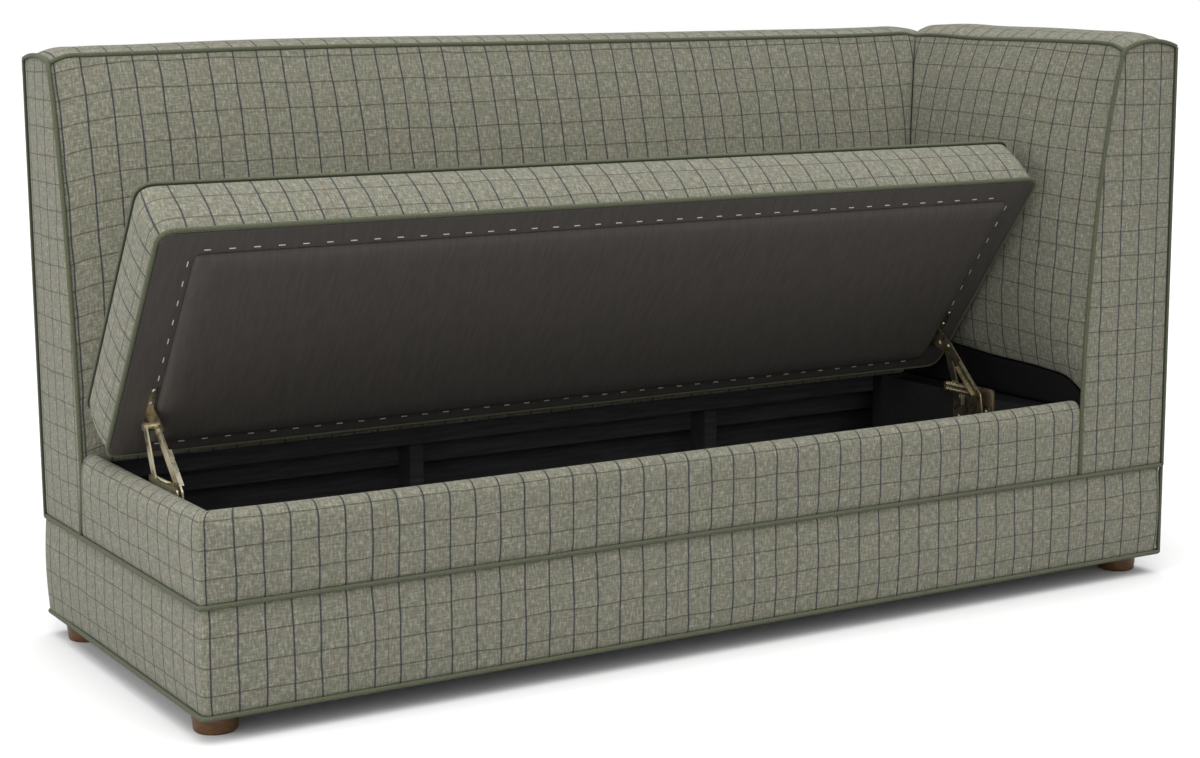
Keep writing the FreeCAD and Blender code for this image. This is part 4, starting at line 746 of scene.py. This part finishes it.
def round_the_corner(run, depth, half, radius):
    """Place along a side and depth from its face, for cloth that turns half way round the corners."""
    straight = half - CORNER
    reach = abs(run)
    bend = np.clip((reach - straight) / TURN, 0, 1) * math.pi / 4
    close = np.clip((reach - straight + EASE) / EASE, 0, 1)
    flat = np.minimum(reach, straight) + close * (half - depth - radius - straight)
    return np.sign(run) * (flat + radius * np.sin(bend)), depth + radius * (1 - np.cos(bend))


SIDES = {
    "front": (HALF_X, (0, -1, 0), 0.020, lambda t, d, z: (t, d - HALF_Y, z)),
    "rear": (HALF_X, (0, 1, 0), 10.520, lambda t, d, z: (t, HALF_Y - d, z)),
    "left": (HALF_Y, (-1, 0, 0), 11.830, lambda t, d, z: (d - HALF_X, t, z)),
    "right": (HALF_Y, (1, 0, 0), 12.880, lambda t, d, z: (HALF_X - d, t, z)),
}


def rear_swell(side, run):
    """How much fuller a side is towards the rear left corner."""
    if side not in ("left", "rear"):
        return 0 * run
    reach = HALF_Y - run if side == "left" else HALF_X + run
    return SWELL * np.exp(-(reach / SWELL_REACH) ** 2)


def side_panel(name, side, size, runs, section, lift, corner, **options):
    """A panel along one side of the box, over a section given by depth and height."""
    half, facing, shift, spot = SIDES[side]

    def form(u, v):
        point = section(v)
        run = runs[0] + u * (runs[1] - runs[0])
        t, d = round_the_corner(run, point.real - rear_swell(side, run), half, corner)
        return spot(t, d, point.imag)

    def cloth(u, v):
        return runs[0] + u * (runs[1] - runs[0]) + shift, v * section.length + lift

    soft_panel(name, size, form, cloth, facing, **options)


BAND_DEPTH, BAND_SWELL, WALL_ROUND, TUCK = 0.0012, 0.0030, 0.018, 0.012
FRONT_WALL_END, LEFT_WALL_END = 0.7165, 0.164
rise = np.linspace(0, 1, 21)
band = along(BAND_DEPTH - BAND_SWELL * np.sin(math.pi * rise) + 1j * (HEM + rise * (BELT - HEM)))
over_top = np.exp(1j * np.linspace(math.pi, 0, 21)[1:]) * WALL_ROUND
wall = along(np.concatenate([BAND_DEPTH * (1 - rise) ** 2 + 1j * (BELT + rise * (SEAT - BELT)),
                             WALL_ROUND + over_top.real + 1j * (SEAT + over_top.imag),
                             [2 * WALL_ROUND + 1j * (SEAT - TUCK)]]))
long_run = STRAIGHT_X + TURN
short_run = STRAIGHT_Y + TURN
side_panel("front_wall", "front", (150, 16), (-long_run, FRONT_WALL_END), wall, BELT - CLOTH_ZERO,
           WALL_CORNER, puff=0.004, stands_for=["front_wall_cover", "wall_wadding"])
side_panel("left_wall", "left", (46, 16), (-short_run, LEFT_WALL_END), wall, BELT - CLOTH_ZERO,
           WALL_CORNER, puff=0.004, stands_for=["left_wall_cover"])
for side in SIDES:
    run, columns = (long_run, 150) if side in ("front", "rear") else (short_run, 58)
    covers = ["lower_band_cover", "lower_band_wadding"] if side == "front" else ()
    side_panel("band_" + side, side, (columns, 14), (-run, run), band, HEM - CLOTH_ZERO, CORNER,
               puff=0.005, stands_for=covers)
print("panels laid:", len(soft_panels))

# %% [markdown]
# ## The seat
# The seat is a boxed cushion: a crowned top panel and a strip, the boxing, that goes right round it.
# It is laid out flat and closed, then every point is carried to the open lid by one turn about the hinge
# side. A square grid is given round corners by pulling each corner's points onto circles.

# %% The boxed seat
OPEN = math.radians(-53.5)
LID_Y, LID_Z = 0.02771, 0.346086
LID_LEFT, LID_RIGHT, LID_DEPTH, LID_ROUND = -0.9195, 0.700, 0.462, 0.024


def on_lid(x, forward, high):
    """A point of the closed seat, by its distance forward from the rear edge, carried to the open lid."""
    return (x, LID_Y - forward * math.cos(OPEN) - high * math.sin(OPEN),
            LID_Z - forward * math.sin(OPEN) + high * math.cos(OPEN))


def rounded_plate(u, v, x, y, radius):
    """Points of a plate with round corners, and how far each is from its edge."""
    wide, deep = x[1] - x[0], y[1] - y[0]
    left, low = u * wide, v * deep
    in_x, in_y = np.minimum(left, wide - left), np.minimum(low, deep - low)
    p, q = np.maximum(radius - in_x, 0), np.maximum(radius - in_y, 0)
    corner = (p > 0) & (q > 0)
    shrink = np.where(corner, np.maximum(p, q) / np.maximum(np.hypot(p, q), 1e-9), 1.0)
    far = np.where(corner, radius - np.maximum(p, q), np.minimum(in_x, in_y))
    new_x = np.where(corner, radius - p * shrink, in_x)
    new_y = np.where(corner, radius - q * shrink, in_y)
    return (x[0] + np.where(left <= wide / 2, new_x, wide - new_x),
            y[0] + np.where(low <= deep / 2, new_y, deep - new_y), far)


SEAM_IN, SIDE_LOW, SIDE_TALL = 0.0042, 0.0042, 0.0996
SEAT_TALL, CROWN_LOW = 0.108, 0.1035


def lid_plate(u, v, inset):
    """A plate as large as the lid, less an inset all round."""
    return rounded_plate(u, v, (LID_LEFT + inset, LID_RIGHT - inset), (inset, LID_DEPTH - inset),
                         LID_ROUND - inset)


def seat_top(u, v):
    x, y, edge = lid_plate(u, v, SEAM_IN)
    crown = np.interp(edge, [0, 0.042, 0.114, 0.19], [0, 0.008, 0.0135, 0.0150])
    return x, y, CROWN_LOW + crown


def rim(share, inset):
    """A point at a share of the way round the seat, the cloth's length up to it, and the way out."""
    radius = LID_ROUND - inset
    wide, deep = LID_RIGHT - LID_LEFT - 2 * LID_ROUND, LID_DEPTH - 2 * LID_ROUND
    bend = radius * math.pi / 2
    lengths = np.array([wide / 2, bend, deep, bend, wide, bend, deep, bend, wide / 2])
    stops = np.concatenate([[0], np.cumsum(lengths)])
    where = np.asarray(share) * stops[-1]
    leg = np.clip(np.searchsorted(stops, where, side="right") - 1, 0, 8)
    done = where - stops[leg]
    anchors = np.array([-1j * deep, wide - 1j * deep, wide + 1j * deep, -wide + 1j * deep,
                        -wide - 1j * deep]) / 2
    ahead = np.array([1, 1j, -1, -1j, 1])[leg // 2]
    out = -1j * ahead * np.where(leg % 2, np.exp(1j * done / radius), 1)
    point = (LID_LEFT + LID_RIGHT) / 2 + 1j * LID_DEPTH / 2 + anchors[(leg + 1) // 2] + out * radius
    point = point + np.where(leg % 2, 0, ahead * done)
    return point.real, point.imag, where, out


def seat_side(u, v):
    x, y, where, out = rim(u, SEAM_IN)
    bulge = np.sin(math.pi * v) * np.where(out.real > 0.1, 0.003, 0.006)
    return x + out.real * bulge, y + out.imag * bulge, SIDE_LOW + v * SIDE_TALL


def seat_side_cloth(u, v):
    return 1.97015 - rim(u, SEAM_IN)[2], SIDE_LOW + v * SIDE_TALL - 0.026


def lid_panel(name, size, shape, cloth, facing, **options):
    """A panel laid on the closed seat and carried to the open lid."""
    soft_panel(name, size, lambda u, v: on_lid(*shape(u, v)), cloth, facing, body="lid", **options)


lid_panel("seat_top", (130, 40), seat_top, lambda u, v: (seat_top(u, v)[0] + 14.564, seat_top(u, v)[1]),
          (0, 0.8, 0.6), puff=0.008, stands_for=["lid_top_cover", "lid_foam"])
lid_panel("seat_side", (330, 10), seat_side, seat_side_cloth, None, puff=0.006, stands_for=["lid_boxing"],
          closed=True)
print("seat panels laid")

# %% [markdown]
# ## The underside of the seat
# Under the lid a brown-black cloth is stapled to the board, and a thin lined panel sits in the middle of
# it with soft edges.

# %% Underside cloth and panel
UNDER_IN = 0.0065
PAD_COLUMNS, PAD_ROWS = 190, 50
PAD_X, PAD_Y, PAD_ROUND, PAD_EDGE, PAD_TALL = (-0.857, 0.645), (0.032, 0.416), 0.012, 0.008, 0.0115


def under_sheet(u, v):
    x, y, edge = lid_plate(u, v, UNDER_IN)
    return x, y, 0.0008 - 0.0009 * np.minimum(edge / 0.03, 1) + 0 * u


def close_rows(share, rows):
    """Shares with the first rows at each edge drawn close together, for a tight bend there."""
    edge = np.array([0, 1, 2, 3]) / rows
    tight = edge * [0, 0.22, 0.40, 0.85]
    return np.interp(share, np.concatenate([edge, 1 - edge[::-1]]), np.concatenate([tight, 1 - tight[::-1]]))


def under_pad(u, v):
    x, y, edge = rounded_plate(close_rows(u, PAD_COLUMNS), close_rows(v, PAD_ROWS), PAD_X, PAD_Y, PAD_ROUND)
    drop = np.sqrt(1 - (1 - np.minimum(edge / PAD_EDGE, 1)) ** 2)
    return x, y, -0.0005 - PAD_TALL * drop


lid_panel("lid_lining", (160, 48), under_sheet, lambda u, v: under_sheet(u, v)[:2], (0, -0.8, -0.6),
          puff=0.0001, depth=0.0008, material=under_cloth, stands_for=["lid_underside_cloth"],
          slot="underside_cloth")
lid_panel("lid_panel", (PAD_COLUMNS, PAD_ROWS), under_pad, lambda u, v: under_pad(u, v)[:2], (0, -0.8, -0.6),
          puff=0.002, depth=0.004, material=under_cloth, stands_for=["lid_underside_panel"],
          slot="underside_cloth")
print("panels laid:", len(soft_panels))

# %% [markdown]
# ## Filling the panels out
# Foam pushes the cloth out between its seams. A cloth simulation does the same: the seam and the hidden
# side are pinned, air pressure pushes on the rest for twenty frames without gravity, and no point may go
# further than a few millimetres. One subdivision afterwards makes the curves smooth.

# %% Fill, smooth and finish the panels
FRAMES = 20


def add_pressure(piece):
    """Cloth pinned at its seam and blown outwards."""
    cloth = piece.modifiers.new("filling", "CLOTH")
    hold = cloth.settings
    hold.vertex_group_mass = "seam"
    hold.quality = 4
    hold.tension_stiffness = 40
    hold.compression_stiffness = 20
    hold.bending_stiffness = 2.0
    hold.use_pressure = True
    hold.uniform_pressure_force = 4.0
    hold.effector_weights.gravity = 0.0
    cloth.point_cache.frame_start = 1
    cloth.point_cache.frame_end = FRAMES


laid = {piece.name: points_of(piece) for piece, puff in soft_panels}
for piece, puff in soft_panels:
    add_pressure(piece)
for number in range(1, FRAMES + 1):
    scene.frame_set(number)
for piece, puff in soft_panels:
    apply_modifiers(piece)
    move = points_of(piece) - laid[piece.name]
    far = np.linalg.norm(move, axis=1, keepdims=True)
    held = laid[piece.name] + move * (puff * np.tanh(far / puff) / np.maximum(far, 1e-9))
    piece.data.vertices.foreach_set("co", held.ravel())
    piece.data.update()
    print(piece.name, "moved up to", round(float(far.max()) * 1000, 2), "mm before the limit")
scene.frame_set(1)
for piece, puff in soft_panels:
    smooth = piece.modifiers.new("smooth", "SUBSURF")
    smooth.levels = 1
    smooth.render_levels = 1
    apply_modifiers(piece)
    bpy.ops.object.shade_smooth()
print("panels filled:", len(soft_panels), "faces:", sum(len(p.data.polygons) for p, puff in soft_panels))

# %% [markdown]
# ## The cords in the seams
# A piping is a cord wrapped in cloth and sewn into a seam. It is made as a grid rolled into a tube along
# a line of points: the line is walked in even steps, and at each step a ring is laid square to it. The map
# is counted round the cord from its open side, so that painted shade can darken the olive where it turns
# into the seam.

# %% Rolling a cord along a line
CORD_STEP, CORD_SIDES = 0.008, 10


def even_steps(points):
    """The same line with its points at even steps, and its length."""
    points = np.asarray(points, float)
    lengths = np.concatenate([[0], np.cumsum(np.linalg.norm(np.diff(points, axis=0), axis=1))])
    count = max(int(lengths[-1] / CORD_STEP), 2)
    where = np.linspace(0, lengths[-1], count + 1)
    return np.stack([np.interp(where, lengths, points[:, k]) for k in range(3)], axis=1), lengths[-1]


CLOSE_ENDS = (lambda: bpy.ops.mesh.select_all(action="DESELECT"), lambda: bpy.ops.mesh.select_non_manifold(),
              lambda: bpy.ops.mesh.fill_holes(sides=0))


def cord_piece(name, points, out, outward, closed=False):
    """A round cord along a line; its rings start from out, and its open side is so many degrees on."""
    path, length = even_steps(points)
    count = len(path) - 1
    ahead = np.gradient(path, axis=0)
    if closed:
        ahead[0] = ahead[-1] = path[1] - path[-2]
    ahead /= np.linalg.norm(ahead, axis=1, keepdims=True)
    side = np.cross(ahead, np.asarray(out, float))
    side /= np.linalg.norm(side, axis=1, keepdims=True)
    rise = np.cross(side, ahead)
    grid = flat_grid(name, count, CORD_SIDES)

    def form(u, v):
        spot = np.clip(np.rint(u * count).astype(int), 0, count)
        angle = (v * 2 * math.pi)[:, None]
        ring = path[spot] + CORD * (rise[spot] * np.cos(angle) + side[spot] * np.sin(angle))
        return tuple(ring.T)

    lay(grid, form, lambda u, v: (u * length, (v * 2 * math.pi - math.radians(outward)) * CORD))
    in_edit_mode(grid, lambda: bpy.ops.mesh.remove_doubles(threshold=1e-6))
    if not closed:
        in_edit_mode(grid, *CLOSE_ENDS)
    in_edit_mode(grid, lambda: bpy.ops.mesh.normals_make_consistent(inside=False))
    grid.data.materials.append(olive)
    bpy.ops.object.shade_smooth()
    return grid


def join(pieces, name):
    """Joins pieces into one and names it."""
    pick(*pieces)
    bpy.ops.object.join()
    pieces[0].name = name
    pieces[0].data.name = name
    return pieces[0]


def sewn_in(name, body, node, *cords):
    """Makes cords one piece that moves with a body."""
    piece = join([cord_piece(*cord) for cord in cords], name)
    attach(piece, body)
    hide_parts(node)


# %% [markdown]
# The belt and the bottom cord go right round the box. The cords of the back and the arm follow their top
# edges and dip together into the inner corner, and one more goes up the front edge of each free end and
# over its crown. Short upright ones close the outer corners. The seat has a cord at each edge of its boxing.

# %% All cords
def box_loop(out, z):
    """A closed line round the box, with round corners."""
    radius = CORNER + out
    line = []
    for sx, sy, start in ((1, -1, -90), (1, 1, 0), (-1, 1, 90), (-1, -1, 180)):
        for step in range(0, 91, 15):
            angle = math.radians(start + step)
            line.append((sx * STRAIGHT_X + radius * math.cos(angle),
                         sy * STRAIGHT_Y + radius * math.sin(angle), z))
    return line + line[:1]


OUT, SUNK, DIP = 0.0005, 0.001, 0.003
BOX_OUT, POST_TOP, POST_IN, BAND_IN = 0.0016, 0.942, 0.0015, 0.0012


def top_lines(wall, spot, half, inner, count):
    """The cords along both edges of a padded top; the front one dips into the inner corner."""
    run = np.linspace(-half + SEAM_GAP, inner, count)
    dip = DIP * np.exp(-((run - run[-1]) / NOTCH_WIDTH) ** 2)
    front = spot(run, TOP_DEPTH - SUNK + 1j * (wall.top(run) - SUNK - dip))
    run = np.linspace(-half + SEAM_GAP, half - 0.003, count)
    rear = spot(run, REAR_DEPTH - OUT + 1j * (wall.rear(run) + OUT))
    return np.stack(front, axis=1), np.stack(rear, axis=1)


back_front, back_rear_line = top_lines(back, back_spot, HALF_X, HALF_X - TOP_DEPTH - 0.0035, 120)
arm_front_line, arm_rear_line = top_lines(arm, arm_spot, HALF_Y, HALF_Y - TOP_DEPTH, 60)


def end_line(wall, run, setback, spot, out_run):
    """The cord up the front edge of a free end and over its crown."""
    edge = np.concatenate([front_edge(wall, run, setback, BELT + 2 * SEAM_GAP),
                           wall.crown(0 * SHARES + run, SHARES)[0][1:]])
    return np.stack(spot(0 * edge.real + out_run, edge), axis=1)


end_cord = end_line(back, BACK_FREE, BACK_SETBACK, back_spot, -HALF_X - OUT)
front_cord = end_line(arm, ARM_FREE, 0.0, arm_spot, -HALF_Y - OUT)


def upright(x, y, low, high):
    """A straight line up."""
    return [(x, y, low), (x, y, high)]


end_corner = upright(-HALF_X - OUT, HALF_Y - POST_IN, BELT, POST_TOP)
front_corner = upright(HALF_X - POST_IN, -HALF_Y - OUT, BELT, POST_TOP)
band_corner = upright(HALF_X - BAND_IN, -HALF_Y + BAND_IN, HEM, BELT)


def seat_loop(high):
    """A closed line round the seat at a height."""
    x, y = rim(np.linspace(0, 1, 400), CORD)[:2]
    return np.stack(on_lid(x, y, 0 * x + high), axis=1)


sewn_in("base_cords", "base", "base_pipings",
        ("belt", box_loop(BOX_OUT, BELT), (0, 0, 1), 90, True),
        ("bottom", box_loop(BOX_OUT, HEM), (0, 0, 1), 90, True),
        ("band_corner_cord", band_corner, (1, 0, 0), 315))
sewn_in("back_cords", "base", "back_pipings",
        ("back_front_cord", back_front, (0, 0, 1), 45),
        ("back_rear_cord", back_rear_line, (0, 0, 1), 315),
        ("back_end_cord", end_cord, (1, 0, 0), 225),
        ("back_corner_cord", end_corner, (1, 0, 0), 135))
sewn_in("arm_cords", "base", "arm_pipings",
        ("arm_front_cord", arm_front_line, (0, 0, 1), 315),
        ("arm_rear_cord", arm_rear_line, (0, 0, 1), 45),
        ("arm_end_cord", front_cord, (0, 1, 0), 135),
        ("arm_corner_cord", front_corner, (0, 1, 0), 225))
lid_up = (0, -math.sin(OPEN), math.cos(OPEN))
sewn_in("seat_cords", "lid", "lid_pipings",
        ("seat_low_cord", seat_loop(CORD), lid_up, 225, True),
        ("seat_high_cord", seat_loop(SEAT_TALL - CORD), lid_up, 315, True))
print("cords sewn in")

# %% [markdown]
# ## The lift springs
# Each hinge has two close-coiled springs between a tab on its base and a tab on the rear arm. A small
# circle is the wire; the Screw modifier sweeps it round the axis and along it at the same time. A spring
# stretches as the lid moves; here each pair is coiled at one length and stands alone, tied to neither the
# base nor the lid.

# %% Springs
SPRING_HEIGHTS, SPRING_REAR, SPRING_FRONT = (0.321, 0.330), -0.05265, -0.12425
TURNS, WIRE, COIL, STEPS = 20, 0.001, 0.003, 14


def spring(x, high):
    """One coil spring along Y."""
    bpy.ops.object.select_all(action="DESELECT")
    bpy.ops.mesh.primitive_circle_add(vertices=8, radius=WIRE, location=(0, 0, 0), rotation=(0, 0, 0))
    coil = bpy.context.object
    in_edit_mode(coil, lambda: bpy.ops.transform.translate(value=(COIL, 0, 0)))
    screw = coil.modifiers.new("coil", "SCREW")
    screw.axis = "Y"
    screw.iterations = TURNS
    screw.steps = STEPS
    screw.render_steps = STEPS
    screw.screw_offset = (SPRING_REAR - SPRING_FRONT - 2 * WIRE) / TURNS
    apply_modifiers(coil)
    in_edit_mode(coil, *CLOSE_ENDS, lambda: bpy.ops.mesh.select_all(action="SELECT"),
                 lambda: bpy.ops.mesh.normals_make_consistent(inside=False),
                 lambda: bpy.ops.transform.translate(value=(x, SPRING_FRONT + WIRE, high)))
    bpy.ops.object.shade_smooth()
    coil.data.materials.append(zinc)
    return coil


for side, x in (("left", -0.8692), ("right", 0.6572)):
    pair = join([spring(x, high) for high in SPRING_HEIGHTS], "lift_springs_" + side)
    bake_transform(pair)
    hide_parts("springs_" + side)
print("springs coiled")
